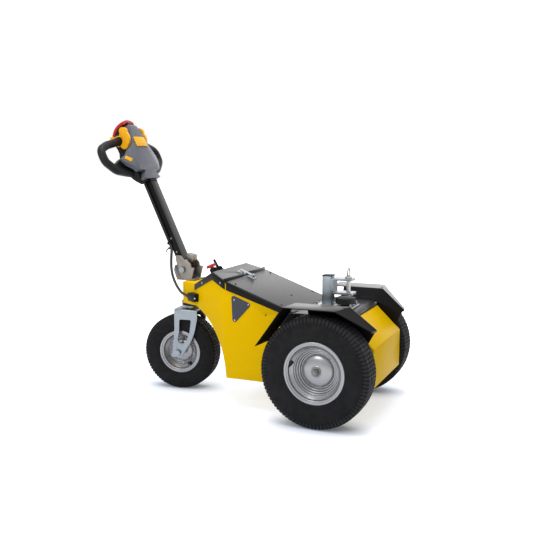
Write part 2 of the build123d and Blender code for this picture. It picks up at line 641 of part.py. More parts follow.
# ---- hitch ----------------------------------------------------------------------------------
def hitch():
    top = deck_z + base_plate
    keep("hitch_base", block(deck_rear_x + 12, post_x + 44, -base_half_width, base_half_width, deck_z, top))
    half = post_side / 2
    post = block(post_x - half, post_x + half, -half, half, top, post_top_z)
    post -= block(post_x - half + post_wall, post_x + half - post_wall, -half + post_wall,
                  half - post_wall, top - 1, post_top_z + 1)
    keep("hitch_post", post)
    cap = block(post_x - half - 1, post_x + half + 1, -half - 1, half + 1, post_top_z, post_top_z + 5)
    cap = fillet(cap.edges().filter_by(Axis.Z), 5)
    keep("post_cap", fillet(cap.faces().sort_by(Axis.Z)[-1].edges(), 2.5))
    back = post_x - half
    outline = side_profile(
        (back, clevis_low_z - clevis_sheet), (back, clevis_top_z), (clevis_reach_top, clevis_top_z),
        (clevis_reach_top, clevis_top_z - clevis_sheet), (back - clevis_sheet, clevis_top_z - clevis_sheet),
        (back - clevis_sheet, clevis_low_z), (clevis_reach_low, clevis_low_z),
        (clevis_reach_low, clevis_low_z - clevis_sheet))
    clevis = prism_y(outline, -clevis_half_width, clevis_half_width)
    # bends at the post, and rounded corners at the open end
    bends = clevis.edges().filter_by(Axis.Y)
    clevis = fillet([e for e in bends if abs(e.center().X - back) < 0.1], clevis_sheet - 1)
    corners = clevis.edges().filter_by(Axis.Z)
    clevis = fillet([e for e in corners if e.center().X < clevis_reach_top + 1], clevis_sheet)
    clevis -= cyl_z(pin_radius + 0.5, 400, 520, pin_x)
    keep("hitch_clevis", clevis)
    pin = cyl_z(pin_radius, clevis_low_z - clevis_sheet - 6, clevis_top_z + 12, pin_x)
    pin += cyl_z(13, clevis_top_z + 0.3, clevis_top_z + 8, pin_x)
    ring = Pos(pin_x, 0, clevis_top_z + 23) * Rot(0, 90, 0) * Torus(15, 3)
    keep("drop_pin", pin + ring)
    disc = cyl_z(20, top, top + 8, buffer_x) + cyl_z(buffer_radius, top + 8, top + 30, buffer_x)
    keep("hitch_buffer", disc)


# ---- fenders ----------------------------------------------------------------------------------
def fender():
    """Left fender: top, front and rear slopes and the inner skirt down to the deck."""
    t = fender_sheet

    def set_back(x, y, z, skew):
        return x - skew * (fender_outer_y - y), y, z

    outer, inner, skew = fender_outer_y, fender_inner_y, fender_skew_rear
    top = [set_back(fender_front_x, inner, fender_top_z, fender_skew_front),
           (fender_front_x, outer, fender_top_z), (fender_rear_x, outer, fender_top_z),
           set_back(fender_rear_x, inner, fender_top_z, skew)]
    front = [top[0], top[1], (fender_nose_x, outer, fender_nose_z),
             set_back(fender_nose_x, inner, fender_nose_z, fender_skew_front)]
    rear = [top[3], top[2], set_back(fender_tail_x, fender_tail_out, fender_tail_z, skew),
            set_back(fender_tail_x, fender_tail_in, fender_tail_z, skew)]
    seat_y = body_half_width + cover_sheet + 0.6
    skirt_x = 60.0
    foot = (deck_rear_x, seat_y, deck_z)
    skirt = [(skirt_x, fender_inner_y, fender_top_z), top[3], foot, (skirt_x, seat_y, deck_z)]
    tail_foot = (rear[3][0] + 7, seat_y, fender_tail_z - 10)
    gusset_a = [top[3], rear[3], foot]
    gusset_b = [rear[3], tail_foot, foot]
    lip = [rear[2], rear[3], (*rear[3][:2], fender_tail_z - 8), (*rear[2][:2], fender_tail_z - 8)]
    solid = None
    for pts, push in ((top, (0, 0, -t)), (front, (-t, 0, 0)), (rear, (0, 0, -t)), (skirt, (0, t, 0)),
                      (gusset_a, (0, t, 0)), (gusset_b, (0, t, 0)), (lip, (t, 0, 0))):
        piece = extrude(make_face(Polyline(*pts, close=True)), t, dir=push)
        solid = piece if solid is None else solid + piece
    arch_low = deck_z - 45
    deck_front = hinge_x - lid_gap
    low = side_profile((deck_front, deck_z), (deck_rear_x, deck_z), (tail_foot[0], tail_foot[2]),
                       (tail_low_x, tail_low_z), (deck_rear_x - 20, arch_low), (deck_front, arch_low))
    solid += prism_y(low, seat_y, seat_y + t)
    # ahead of the deck the skirt stands off the body, clear of the lid
    stand_off = 5.2
    ahead = side_profile((deck_front - t, arch_low), (deck_front - t, deck_z), (skirt_front_x - 9, deck_z),
                         (skirt_front_x, deck_z - 15), (skirt_low_x, skirt_low_z), (skirt_low_x - 5, arch_low - 12))
    solid += prism_y(ahead, seat_y + stand_off, seat_y + stand_off + t)
    solid += block(deck_front - t, deck_front, seat_y, seat_y + stand_off + t, arch_low, deck_z)
    keep("fender_left", solid)
    keep("fender_right", mirrored(solid))


# ---- inside and fittings ---------------------------------------------------------------------
def inside():
    front = lid_front_x - 12.5
    half = body_half_width - 37
    low = floor_z + sheet
    keep("battery", block(front - battery_length, front, -half, half, low, low + battery_height))


def fittings():
    # switches on the front cover's slope
    slope = math.degrees(math.atan2(peak_z - cover_front_z, cover_front_x - peak_x))
    for name, y in (("isolator_switch", isolator_y), ("key_switch", key_y)):
        seat = Pos(switch_x, y, cover_line(switch_x)) * Rot(0, slope, 0)
        keep(name, seat * (cyl_z(20, 0, 10) + cyl_z(14, 10, 28)))
        if name == "isolator_switch":
            handle = Rot(0, 0, 60) * block(-20, 20, -8, 8, 34, 45)
            handle = fillet(handle.edges().filter_by(lambda e: e.center().Z > 36), 4)
            keep("isolator_key", seat * (cyl_z(8, 28, 36) + handle))
        else:
            keep("key", seat * (cyl_z(6, 28, 36) + block(-5, 5, -1.2, 1.2, 36, 62)))
    # toggle latch over the gap in front of the lid
    pitch = math.degrees(math.atan2(peak_z - deck_z, peak_x - hinge_x))
    seat = Pos(lid_front_x, 0, cover_line(lid_front_x)) * Rot(0, -pitch, 0)
    half, link = latch_half_width, latch_half_width - 5
    keep("latch_catch", seat * block(8, 40, -half, half, 0, 7))
    keep("lid_latch", seat * (block(-40, -8, -half, half, 0, 6) + block(-30, 34, -link, link, 8, 12)
                              + block(-30, -12, -link, link, 5, 9)))
    # cable box on the left side of the nose
    ang = -math.degrees(taper)
    box = block(-34, 12, 0, 21, -16, 16)
    box = fillet(box.edges().filter_by(Axis.Y), 4)
    # gland at its front end, where the cable leaves
    box += Pos(17, 12, 0) * Rot(0, 90, 0) * Cylinder(9, 12)
    mid_x = cover_front_x + 7
    mid_y = body_half_width + (mid_x - fold_x) * (nose_half_width - body_half_width) / (nose_x - fold_x)
    keep("cable_box", Pos(mid_x, mid_y + 0.02, 405) * Rot(0, 0, ang) * Rot(0, -3, 0) * box)
    # blank triangular plate on the left panel
    tri = prism_y(side_profile((373, 441), (288, 410), (368, 323)), body_half_width, body_half_width + 2)
    tri = fillet(tri.edges().filter_by(Axis.Y), 10)
    keep("side_plate", tri)


def cables():
    """The lead from the cable box to the arm, hanging free, and its run up the arm."""
    side_y = arm_width / 2 + cable_radius + 0.5
    route = [(610.2, 100.9, 406.2), (641, 86.2, 408.4), (662, 77.5, 421), (685, 68.5, 445), (704, 59, 474),
             (715, 50, 503), (720, 42, 531), (722, 36, 559), (722, side_y, 583.5), (730.4, side_y, 601.5)]
    points = [Vector(*p) for p in route]
    runs = [b - a for a, b in zip(points, points[1:])]
    radii = []
    for before, after in zip(runs, runs[1:]):
        turn = math.radians(before.get_angle(after))
        radii.append(0.45 * min(before.length, after.length) / math.tan(turn / 2))
    path = FilletPolyline(*route, radius=radii)
    print("free cable: length", round(path.length, 1), "radii", [round(r) for r in radii])
    section = Plane(path @ 0, z_dir=path % 0) * Circle(cable_radius)
    tube = sweep(section, path)
    print("volume over section times length", round(tube.volume / (math.pi * cable_radius ** 2 * path.length), 4))
    keep("tiller_cable", tube)
    clip = block(4, 20, arm_width / 2, side_y + cable_radius + 1.5, clip_at, clip_at + 10)
    clip -= cyl_z(cable_radius + 0.05, clip_at + 2, clip_at + 11, 12, side_y)
    keep("cable_clip", tiller_place * clip)
    run = cyl_z(cable_radius, clip_at + 2, arm_top - 48, 12, side_y)
    keep("arm_cable", tiller_place * run)


def build():
    body_sides()
    rear_panel()
    floor_tray()
    castor_arch()
    nose_box()
    covers()
    hinge()
    drive_wheels()
    drive_axle()
    castor()
    tiller_bracket()
    tiller_arm()
    head()
    hitch()
    fender()
    inside()
    fittings()
    cables()


build()
boxes = [shape.bounding_box() for shape in PARTS.values()]
middle_x = (min(b.min.X for b in boxes) + max(b.max.X for b in boxes)) / 2
print("rear axle at x =", round(-middle_x, 3))
for name, shape in PARTS.items():
    placed = Pos(-middle_x, 0, 0) * shape
    export_step(placed, f"parts/{name}.step")
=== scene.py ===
"""Finishes, treads, fasteners and studio stage for the walk-behind battery tug."""
import cmath
import json
import math

import bmesh
import bpy
from mathutils import Matrix, Vector
from mathutils.bvhtree import BVHTree

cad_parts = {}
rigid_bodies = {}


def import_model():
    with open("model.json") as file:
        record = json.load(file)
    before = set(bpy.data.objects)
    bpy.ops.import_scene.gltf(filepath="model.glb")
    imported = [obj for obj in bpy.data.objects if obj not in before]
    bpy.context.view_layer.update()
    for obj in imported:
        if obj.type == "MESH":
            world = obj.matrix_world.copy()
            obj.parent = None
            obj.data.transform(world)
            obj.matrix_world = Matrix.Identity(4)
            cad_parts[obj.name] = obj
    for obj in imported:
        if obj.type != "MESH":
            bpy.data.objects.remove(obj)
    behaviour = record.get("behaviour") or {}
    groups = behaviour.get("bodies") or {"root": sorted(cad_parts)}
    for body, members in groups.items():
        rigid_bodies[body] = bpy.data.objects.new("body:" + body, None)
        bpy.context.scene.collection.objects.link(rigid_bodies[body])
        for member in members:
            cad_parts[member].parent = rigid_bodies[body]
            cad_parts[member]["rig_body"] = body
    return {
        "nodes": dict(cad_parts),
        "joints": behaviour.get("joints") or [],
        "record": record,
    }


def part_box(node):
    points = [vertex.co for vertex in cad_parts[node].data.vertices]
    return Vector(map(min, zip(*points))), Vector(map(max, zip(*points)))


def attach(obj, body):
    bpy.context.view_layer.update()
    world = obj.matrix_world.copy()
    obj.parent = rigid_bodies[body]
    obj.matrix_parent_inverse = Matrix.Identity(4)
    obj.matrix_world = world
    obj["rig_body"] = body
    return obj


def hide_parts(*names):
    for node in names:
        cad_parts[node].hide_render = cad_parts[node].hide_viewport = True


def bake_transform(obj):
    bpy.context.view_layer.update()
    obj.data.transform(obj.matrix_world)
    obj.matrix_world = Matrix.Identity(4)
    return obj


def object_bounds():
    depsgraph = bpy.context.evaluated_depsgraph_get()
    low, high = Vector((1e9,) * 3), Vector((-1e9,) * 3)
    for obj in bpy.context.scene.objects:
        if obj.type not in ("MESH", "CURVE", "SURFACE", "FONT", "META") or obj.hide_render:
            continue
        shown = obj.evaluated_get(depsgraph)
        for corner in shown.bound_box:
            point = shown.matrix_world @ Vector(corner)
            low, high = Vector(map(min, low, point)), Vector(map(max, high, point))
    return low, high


bl_info = {
    "name": "Battery Tug Dressing",
    "version": (1, 0, 0),
    "blender": (4, 5, 0),
    "location": "View3D > Sidebar > Tug",
    "description": "Dresses the packed battery tug with finishes, tyre tread, fasteners and a studio stage",
    "category": "Object",
}

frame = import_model()
NODES = frame["nodes"]
SLOT_OF = {row["node"]: row["material_slot"] for row in frame["record"]["subparts"]}
JOINTS = {joint["name"]: joint for joint in frame["joints"]}
CAD_BOX = [list(corner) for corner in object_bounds()]
REAR_AXLE = Vector(JOINTS["drive_wheel_left_spin"]["pos_m"])
AXLE_X = REAR_AXLE.x
CASTOR_CENTRE = Vector(JOINTS["castor_wheel_spin"]["pos_m"])
CASTOR_AXIS = Vector(JOINTS["castor_wheel_spin"]["axis"])
CASTOR_TURN = math.atan2(-CASTOR_AXIS.x, CASTOR_AXIS.y)
TILLER_PIVOT = Vector(JOINTS["tiller_tilt"]["pos_m"])
TILLER_LEAN = math.radians(25)
LID_PITCH = math.atan2(0.126, 0.351)
LID_FOOT = 0.12
COVER_SLOPE = math.atan2(0.06, 0.106)
LATCH_X = 0.3975


def from_axle(x, y, z):
    """A point in metres, its X counted from the rear axle."""
    return Vector((AXLE_X + x, y, z))


def at(place, angle=0.0, axis="Z"):
    """A matrix that turns about one of its axes, then moves to place."""
    return Matrix.Translation(place) @ Matrix.Rotation(angle, 4, axis)


def on_lid(x, y):
    """A frame on the lid's upper face, its Z along the face's normal."""
    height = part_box("rear_deck")[1].z + (x - LID_FOOT) * math.tan(LID_PITCH)
    return at(from_axle(x, y, height), -LID_PITCH, "Y")


# ---- settings ----
class TugFinishes(bpy.types.PropertyGroup):
    """Colours of the painted and moulded pieces."""
    body: bpy.props.FloatVectorProperty(
        name="Body", description="Powder coat of the body sheets", subtype="COLOR", size=3,
        min=0, max=1, default=(0.88, 0.535, 0.0005))
    covers: bpy.props.FloatVectorProperty(
        name="Covers", description="Powder coat of covers and fenders", subtype="COLOR", size=3,
        min=0, max=1, default=(0.0055, 0.0053, 0.0054))
    rims: bpy.props.FloatVectorProperty(
        name="Rims", description="Silver paint of the drive rims", subtype="COLOR", size=3,
        min=0, max=1, default=(0.3, 0.3, 0.31))
    zinc: bpy.props.FloatVectorProperty(
        name="Zinc", description="Zinc plate of fork, post and clevis", subtype="COLOR", size=3,
        min=0, max=1, default=(0.265, 0.295, 0.325))
    rubber: bpy.props.FloatVectorProperty(
        name="Rubber", description="Tyre rubber", subtype="COLOR", size=3,
        min=0, max=1, default=(0.008, 0.008, 0.0088))
    head: bpy.props.FloatVectorProperty(
        name="Head cover", description="Grey plastic of the tiller head", subtype="COLOR", size=3,
        min=0, max=1, default=(0.135, 0.14, 0.165))
    controls: bpy.props.FloatVectorProperty(
        name="Controls", description="Yellow plastic of the throttles and head button",
        subtype="COLOR", size=3, min=0, max=1, default=(0.95, 0.46, 0.01))
    red: bpy.props.FloatVectorProperty(
        name="Red", description="Red plastic of the belly button and isolator key",
        subtype="COLOR", size=3, min=0, max=1, default=(0.5, 0.018, 0.022))


class TugSizes(bpy.types.PropertyGroup):
    """Sizes of the scene's own details."""
    cut_edge: bpy.props.FloatProperty(
        name="Cut edge", description="Rounding of the sheets' cut edges", unit="LENGTH",
        min=0, default=0.0006)
    bend: bpy.props.FloatProperty(
        name="Bend", description="Outer radius where sheets are bent", unit="LENGTH",
        min=0, default=0.004)
    drive_lugs: bpy.props.IntProperty(
        name="Drive tyre lugs", description="Shoulder lugs round one drive tyre", min=12, default=88)
    castor_lugs: bpy.props.IntProperty(
        name="Castor tyre lugs", description="Shoulder lugs round the castor tyre", min=12, default=72)
    tread_depth: bpy.props.FloatProperty(
        name="Tread depth", description="Depth of the tread grooves", unit="LENGTH",
        min=0, default=0.005)
    zigzag: bpy.props.FloatProperty(
        name="Zigzag", description="Sideways swing of the tread grooves", unit="LENGTH",
        min=0, default=0.0025)
    screw: bpy.props.FloatProperty(
        name="Screw head", description="Radius of the small screw heads", unit="LENGTH",
        min=0.001, default=0.0045)


class TugStage(bpy.types.PropertyGroup):
    """Camera and light."""
    lens: bpy.props.FloatProperty(
        name="Lens", description="Focal length on a 36 mm sensor", subtype="DISTANCE_CAMERA",
        min=10, default=49.572)
    key_power: bpy.props.FloatProperty(
        name="Key", description="Power of the soft light on the left side", subtype="POWER",
        min=0, default=31)
    top_power: bpy.props.FloatProperty(
        name="Top", description="Power of the overhead soft box", subtype="POWER", min=0, default=62)
    back_power: bpy.props.FloatProperty(
        name="Back", description="Power of the tall soft panel behind the right side", subtype="POWER",
        min=0, default=36)
    ambient: bpy.props.FloatProperty(
        name="Ambient", description="Strength of the pale surroundings", min=0, default=0.42)


# ---- finishes ----
def blank_material(name):
    """A material with a Principled shader, and its object coordinates."""
    made = bpy.data.materials.new(name)
    made.use_nodes = True
    tree = made.node_tree
    tree.nodes.clear()
    output = tree.nodes.new("ShaderNodeOutputMaterial")
    shader = tree.nodes.new("ShaderNodeBsdfPrincipled")
    coords = tree.nodes.new("ShaderNodeTexCoord")
    tree.links.new(shader.outputs["BSDF"], output.inputs["Surface"])
    return made, shader, coords.outputs["Object"]


def feed(node, name, value):
    """Links a socket to one of a node's inputs, or sets the input to a value."""
    if isinstance(value, bpy.types.NodeSocket):
        node.id_data.links.new(value, node.inputs[name])
    else:
        node.inputs[name].default_value = value


def beside(socket, kind):
    """A new node in the tree that the socket belongs to."""
    return socket.id_data.nodes.new(kind)


def worked(operation, first, *others):
    """The result of a Math node on a socket and other sockets or numbers."""
    node = beside(first, "ShaderNodeMath")
    node.operation = operation
    for index, term in enumerate((first, *others)):
        feed(node, index, term)
    return node.outputs[0]


def distance(source, shares):
    """The length of a vector, once its three parts are multiplied by shares."""
    part = beside(source, "ShaderNodeVectorMath")
    part.operation = "MULTIPLY"
    feed(part, 0, source)
    feed(part, 1, shares)
    whole = beside(source, "ShaderNodeVectorMath")
    whole.operation = "LENGTH"
    feed(whole, 0, part.outputs[0])
    return whole.outputs["Value"]


def seen_directly(tree):
    """1 where the camera, gloss or glass sees the shader."""
    path = tree.nodes.new("ShaderNodeLightPath")
    seen = path.outputs["Is Camera Ray"]
    for other in ("Is Glossy Ray", "Is Transmission Ray"):
        seen = worked("MAXIMUM", seen, path.outputs[other])
    return seen


def noise(source, scale, detail):
    """A noise texture read from a coordinate socket."""
    node = beside(source, "ShaderNodeTexNoise")
    feed(node, "Scale", scale)
    feed(node, "Detail", detail)
    feed(node, "Vector", source)
    return node.outputs["Fac"]


def between(factor, low, high, from_low=0.3, from_high=0.7):
    """A value that follows factor from low to high."""
    node = beside(factor, "ShaderNodeMapRange")
    for name, value in (("From Min", from_low), ("From Max", from_high), ("To Min", low), ("To Max", high),
                        ("Value", factor)):
        feed(node, name, value)
    return node.outputs["Result"]


def blended(factor, first, second):
    """Mix of two colours, each a colour or a socket."""
    node = beside(factor, "ShaderNodeMix")
    node.data_type = "RGBA"
    feed(node, "Factor", factor)
    for index, colour in ((6, first), (7, second)):
        feed(node, index, colour if isinstance(colour, bpy.types.NodeSocket) else (*colour, 1))
    return node.outputs[2]


def scaled(colour, share):
    return tuple(min(1, c * share) for c in colour)


def bump(shader, height, depth, under=None):
    """A bump on the shader, on top of another bump if one is given."""
    node = beside(height, "ShaderNodeBump")
    feed(node, "Distance", depth)
    feed(node, "Height", height)
    if under is not None:
        feed(node, "Normal", under)
    feed(shader, "Normal", node.outputs["Normal"])
    return node.outputs["Normal"]


def surface(name, colour, rough, metal=0.0, shade=0.07, patch=5.0, grain=900.0, depth=0.00004,
            rough_spread=0.05, specular=0.5, sheen=0.0):
    """A finish with slow shade variation, uneven gloss and a fine grain."""
    made, shader, place = blank_material(name)
    slow = between(noise(place, patch, 4), 0, 1)
    feed(shader, "Base Color", blended(slow, scaled(colour, 1 - shade), scaled(colour, 1 + shade)))
    feed(shader, "Roughness", between(noise(place, patch * 9, 5), rough - rough_spread, rough + rough_spread))
    feed(shader, "Metallic", metal)
    feed(shader, "Specular IOR Level", specular)
    feed(shader, "Sheen Weight", sheen)
    feed(shader, "Sheen Roughness", 0.35)
    bump(shader, noise(place, grain, 2), depth)
    return made


def plated(name, colour, rough, spangle=0.06, cast=0.05):
    """Zinc plate: bright metal with faint crystal patches and a bluish or yellowish cast."""
    made, shader, place = blank_material(name)
    crystal = beside(place, "ShaderNodeTexVoronoi")
    feed(crystal, "Scale", 160)
    feed(crystal, "Vector", place)
    red, green, blue = colour
    tint = blended(between(noise(place, 14, 3), 0, 1), (red * (1 - cast), green, blue * (1 + cast)),
                   (red * (1 + cast), green, blue * (1 - cast)))
    patches = between(crystal.outputs["Distance"], 0, 1, 0, 0.6)
    feed(shader, "Base Color", blended(patches, tint, scaled(colour, 1 - spangle)))
    feed(shader, "Metallic", 1)
    feed(shader, "Roughness", between(noise(place, 60, 4), rough - 0.05, rough + 0.06))
    bump(shader, noise(place, 500, 2), 0.00002)
    return made


def braid(name, colour, pitch):
    """Black braided sleeve: two sets of slanting bands, the raised strands painted lighter as a painted highlight and
    the gaps darker as painted shade.
    """
    made, shader, place = blank_material(name)
    height = None
    for lean in (0.9, -0.9):
        turn = beside(place, "ShaderNodeMapping")
        feed(turn, "Rotation", (lean, lean, 0))
        feed(turn, "Vector", place)
        wave = beside(place, "ShaderNodeTexWave")
        wave.bands_direction = "Z"
        feed(wave, "Scale", 0.314 / pitch)
        feed(wave, "Distortion", 0.4)
        feed(wave, "Vector", turn.outputs["Vector"])
        band = wave.outputs["Fac"]
        height = band if height is None else worked("MULTIPLY", height, band)
    # Colour follows the bands' height: painted highlight on the raised strands, painted shade in the gaps between them.
    feed(shader, "Base Color", blended(between(height, 0, 1, 0.1, 0.8), scaled(colour, 0.6), scaled(colour, 3)))
    feed(shader, "Roughness", 0.55)
    bump(shader, height, 0.0004)
    return made


def tyre_rubber(name, colour, centre, axis, rings, painted_highlight_lift):
    """Rubber with moulded rings on the side walls, (radius, half width) each, and a paler tread band, a painted
    highlight.
    """
    made, shader, place = blank_material(name)
    turn = beside(place, "ShaderNodeMapping")
    turn.vector_type = "TEXTURE"
    feed(turn, "Location", centre)
    feed(turn, "Rotation", (0, 0, math.atan2(-axis.x, axis.y)))
    feed(turn, "Vector", place)
    radius = distance(turn.outputs["Vector"], (1, 0, 1))
    height = None
    for ring_radius, half_width in rings:
        away = worked("ABSOLUTE", worked("SUBTRACT", radius, ring_radius))
        ridge = between(away, 1, 0, 0, half_width)
        height = ridge if height is None else worked("ADD", height, ridge)
    red, green, blue = colour
    dusty = blended(between(noise(place, 9, 5), 0, 1, 0.35, 0.75), scaled(colour, 0.85),
                    (red * 1.7, green * 1.65, blue * 1.6))
    # Outside the outermost ring the shoulder and tread are painted paler: a painted highlight.
    edge = rings[-1][0]
    tread = between(radius, 0, 1, edge + 0.003, edge + 0.012)
    feed(shader, "Base Color", blended(tread, dusty, scaled(colour, painted_highlight_lift)))
    feed(shader, "Roughness", between(noise(place, 60, 4), 0.58, 0.8))
    feed(shader, "Specular IOR Level", 0.15)
    grain = bump(shader, noise(place, 500, 3), 0.00008)
    bump(shader, height, 0.0007, under=grain)
    return made


def make_finishes():
    """All finishes by the record's material slot, and a few by name."""
    tones = bpy.context.scene.tug_finishes
    return {
        "yellow_paint": surface("yellow_powder_coat", tones.body, 0.4, shade=0.03, specular=0.03),
        "black_paint": surface("black_powder_coat", tones.covers, 0.3, shade=0.12, grain=1300, depth=0.00002,
                               rough_spread=0.02, specular=0.1, sheen=0.2),
        "rim_paint": surface("silver_wheel_paint", tones.rims, 0.28, metal=0.7, shade=0.02, patch=3,
                             rough_spread=0.012, grain=700, depth=0.00001),
        "zinc": plated("zinc_plate", tones.zinc, 0.38),
        "dull_zinc": plated("dull_zinc", (0.27, 0.245, 0.22), 0.45, 0.12, 0.03),
        "flat_zinc": surface("flat_zinc", (0.42, 0.47, 0.49), 0.5, metal=0.5, shade=0.05, depth=0.00002),
        "hub_metal": surface("hub_metal", (0.2, 0.2, 0.205), 0.55, metal=0.8, shade=0.1, depth=0.00002),
        "steel": plated("bright_steel", (0.42, 0.41, 0.4), 0.24, 0.02, 0.02),
        "cast_iron": surface("black_casting", (0.03, 0.03, 0.032), 0.6, shade=0.2, grain=300, depth=0.0003,
                             specular=0.3),
        "tyre": tyre_rubber("drive_tyre_rubber", tones.rubber, REAR_AXLE, Vector((0, 1, 0)),
                            ((0.121, 0.001), (0.126, 0.0008), (0.15, 0.0008), (0.171, 0.0012), (0.176, 0.0009)),
                            painted_highlight_lift=2.8),
        "castor_tyre": tyre_rubber("castor_tyre_rubber", scaled(tones.rubber, 0.85), CASTOR_CENTRE, CASTOR_AXIS,
                                   ((0.095, 0.001), (0.099, 0.0008), (0.118, 0.0008), (0.131, 0.0012),
                                    (0.136, 0.0008)), painted_highlight_lift=1.6),
        "rubber": surface("moulded_rubber", (0.008, 0.008, 0.009), 0.62, shade=0.2, grain=500, depth=0.0001,
                          specular=0.3),
        "grip": surface("soft_grip", (0.009, 0.009, 0.01), 0.5, shade=0.1, grain=1200, depth=0.00012,
                        specular=0.2),
        "sleeve": braid("braided_sleeve", (0.016, 0.017, 0.019), pitch=0.0035),
        "grey_plastic": surface("grey_moulding", tones.head, 0.45, shade=0.03, grain=1600, specular=0.2),
        "black_plastic": surface("black_moulding", (0.007, 0.007, 0.008), 0.42, shade=0.1, grain=1600,
                                 specular=0.12),
        "yellow_plastic": surface("yellow_moulding", tones.controls, 0.36, shade=0.04, specular=0.2),
        "red_plastic": surface("red_moulding", tones.red, 0.32, shade=0.05, specular=0.3),
        "plate_grey": surface("satin_plate", (0.058, 0.063, 0.08), 0.38, shade=0.06, specular=0.2),
        "underseal": surface("underseal", (0.006, 0.006, 0.006), 0.9, shade=0.2, grain=250, depth=0.0003,
                             specular=0.03),
        # Near-black sheet laid where the rims have a slot and holes: painted shade.
        "painted_hole_shade": surface("painted_hole_shade", (0.006, 0.006, 0.006), 0.8, shade=0.2, specular=0.1),
    }


FINISH = {}


# ---- making pieces ----
def placed(name, data):
    """A new object in the scene."""
    made = bpy.data.objects.new(name, data)
    bpy.context.scene.collection.objects.link(made)
    return made


def show(name, bm, finish, body, replaced=(), sharp=35, stage=False):
    """Turns a bmesh into a piece that rides on a body, in the finish's material."""
    mesh = bpy.data.meshes.new(name)
    limit = math.radians(sharp)
    for face in bm.faces:
        face.smooth = True
    for edge in bm.edges:
        edge.smooth = not (len(edge.link_faces) == 2 and edge.calc_face_angle(0) > limit)
    bm.to_mesh(mesh)
    bm.free()
    piece = placed(name, mesh)
    mesh.materials.append(FINISH[finish])
    if stage:
        return piece
    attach(piece, body)
    if replaced:
        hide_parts(*replaced)
    return piece


def show_instead(node, ending, bm, finish=None, sharp=35):
    """Shows a bmesh in place of a CAD node, on its body and in its slot."""
    slot = SLOT_OF[node]
    return show(node + ending, bm, finish or slot, NODES[node]["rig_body"], (node,), sharp)


def bevelled(bm, edges, offset, segments=2):
    """Rounds the given edges."""
    edges = [e for e in edges if e.is_valid]
    if edges and offset > 0:
        bmesh.ops.bevel(bm, geom=edges, offset=offset, offset_type="OFFSET", affect="EDGES",
                        segments=segments, profile=0.5, material=-1, clamp_overlap=True)


def sharp_edges(bm, degrees):
    limit = math.radians(degrees)
    return [e for e in bm.edges if len(e.link_faces) == 2 and e.calc_face_angle(0) > limit]


def node_copy(node):
    """A merged copy of a CAD node's mesh, its flat faces joined up."""
    bm = bmesh.new()
    bm.from_mesh(NODES[node].data)
    bmesh.ops.remove_doubles(bm, verts=bm.verts[:], dist=1e-5)
    bmesh.ops.dissolve_limit(bm, angle_limit=math.radians(0.5), verts=bm.verts[:], edges=bm.edges[:],
                             delimit=set())
    return bm


def landed(node, start, towards):
    """Where a line from start meets the CAD node, set up facing out of its surface."""
    bm = node_copy(node)
    place, normal = BVHTree.FromBMesh(bm).ray_cast(Vector(start), Vector(towards))[:2]
    bm.free()
    if place is None:
        raise RuntimeError(f"nothing of {node} lies that way")
    if normal.dot(Vector(towards)) > 0:
        normal = -normal
    return facing(place, normal)


BROAD_FACE = 0.005   # a bend lies between two faces broader than this


def thickness(face):
    """Roughly the narrow side of a face."""
    around = face.calc_perimeter()
    return 2 * face.calc_area() / around if around else 0


def soften_node(node, cut=None, bend=None, finish=None):
    """A copy of a CAD node with rounded bends and cut edges, in place of the plain one."""
    sizes = bpy.context.scene.tug_sizes
    cut = sizes.cut_edge if cut is None else cut
    bend = sizes.bend if bend is None else bend
    bm = node_copy(node)
    bends = [e for e in sharp_edges(bm, 12) if min(thickness(f) for f in e.link_faces) > BROAD_FACE]
    bevelled(bm, bends, bend, 3)
    bevelled(bm, sharp_edges(bm, 50), cut)
    return show_instead(node, "_dressed", bm, finish)


def plain_finish(*nodes, finish=None):
    """Gives CAD nodes a finish, their own slot's if none is named, and leaves their shape."""
    for node in nodes:
        NODES[node].data.materials.clear()
        NODES[node].data.materials.append(FINISH[finish or SLOT_OF[node]])


def lathe(profile, steps, bm=None):
    """A solid turned about Y from (radius, y) points, added to bm if one is given."""
    bm = bmesh.new() if bm is None else bm
    verts = [bm.verts.new((r, y, 0)) for r, y in profile]
    edges = [bm.edges.new(pair) for pair in zip(verts, verts[1:] + verts[:1])]
    bmesh.ops.spin(bm, geom=verts + edges, cent=(0, 0, 0), axis=(0, 1, 0), dvec=(0, 0, 0),
                   angle=math.tau, steps=steps, use_merge=True, use_duplicate=False)
    bmesh.ops.remove_doubles(bm, verts=bm.verts[:], dist=1e-6)
    bmesh.ops.recalc_face_normals(bm, faces=bm.faces[:])
    return bm


def disc(bm, radius, low, high, place, segments=24, top_radius=None):
    """A short cylinder or cone along Z from low to high, placed by a matrix."""
    made = bmesh.ops.create_cone(bm, cap_ends=True, segments=segments, radius1=radius,
                                 radius2=radius if top_radius is None else top_radius, depth=high - low,
                                 matrix=place @ at((0, 0, (low + high) / 2)))
    return made["verts"]


def slab(bm, low, high, place=Matrix()):
    """A box between two corners, placed by a matrix."""
    low, high = Vector(low), Vector(high)
    size = high - low
    return bmesh.ops.create_cube(
        bm, size=1, matrix=place @ at((low + high) / 2) @ Matrix.Diagonal((*size, 1)))["verts"]


def edges_of(verts):
    return list({e for v in verts for e in v.link_edges})


def block(bm, low, high, place, edge, segments=2):
    """A slab with its edges rounded."""
    bevelled(bm, edges_of(slab(bm, low, high, place)), edge, segments)


def facing(point, direction, spin=0.0):
    """A matrix with its Z along direction, at point."""
    turn = Vector(direction).normalized().to_track_quat("Z", "Y").to_matrix().to_4x4()
    return at(point) @ turn @ at((0, 0, 0), spin)


def dome_screw(bm, place, radius, height):
    """A domed screw head with a hexagon socket, its base at the place's origin."""
    disc(bm, radius, -0.0005, height * 0.45, place, 20)
    disc(bm, radius, height * 0.45, height, place, 20, radius * 0.62)
    disc(bm, radius * 0.38, height - 0.0001, height + 0.00015, place, 6)


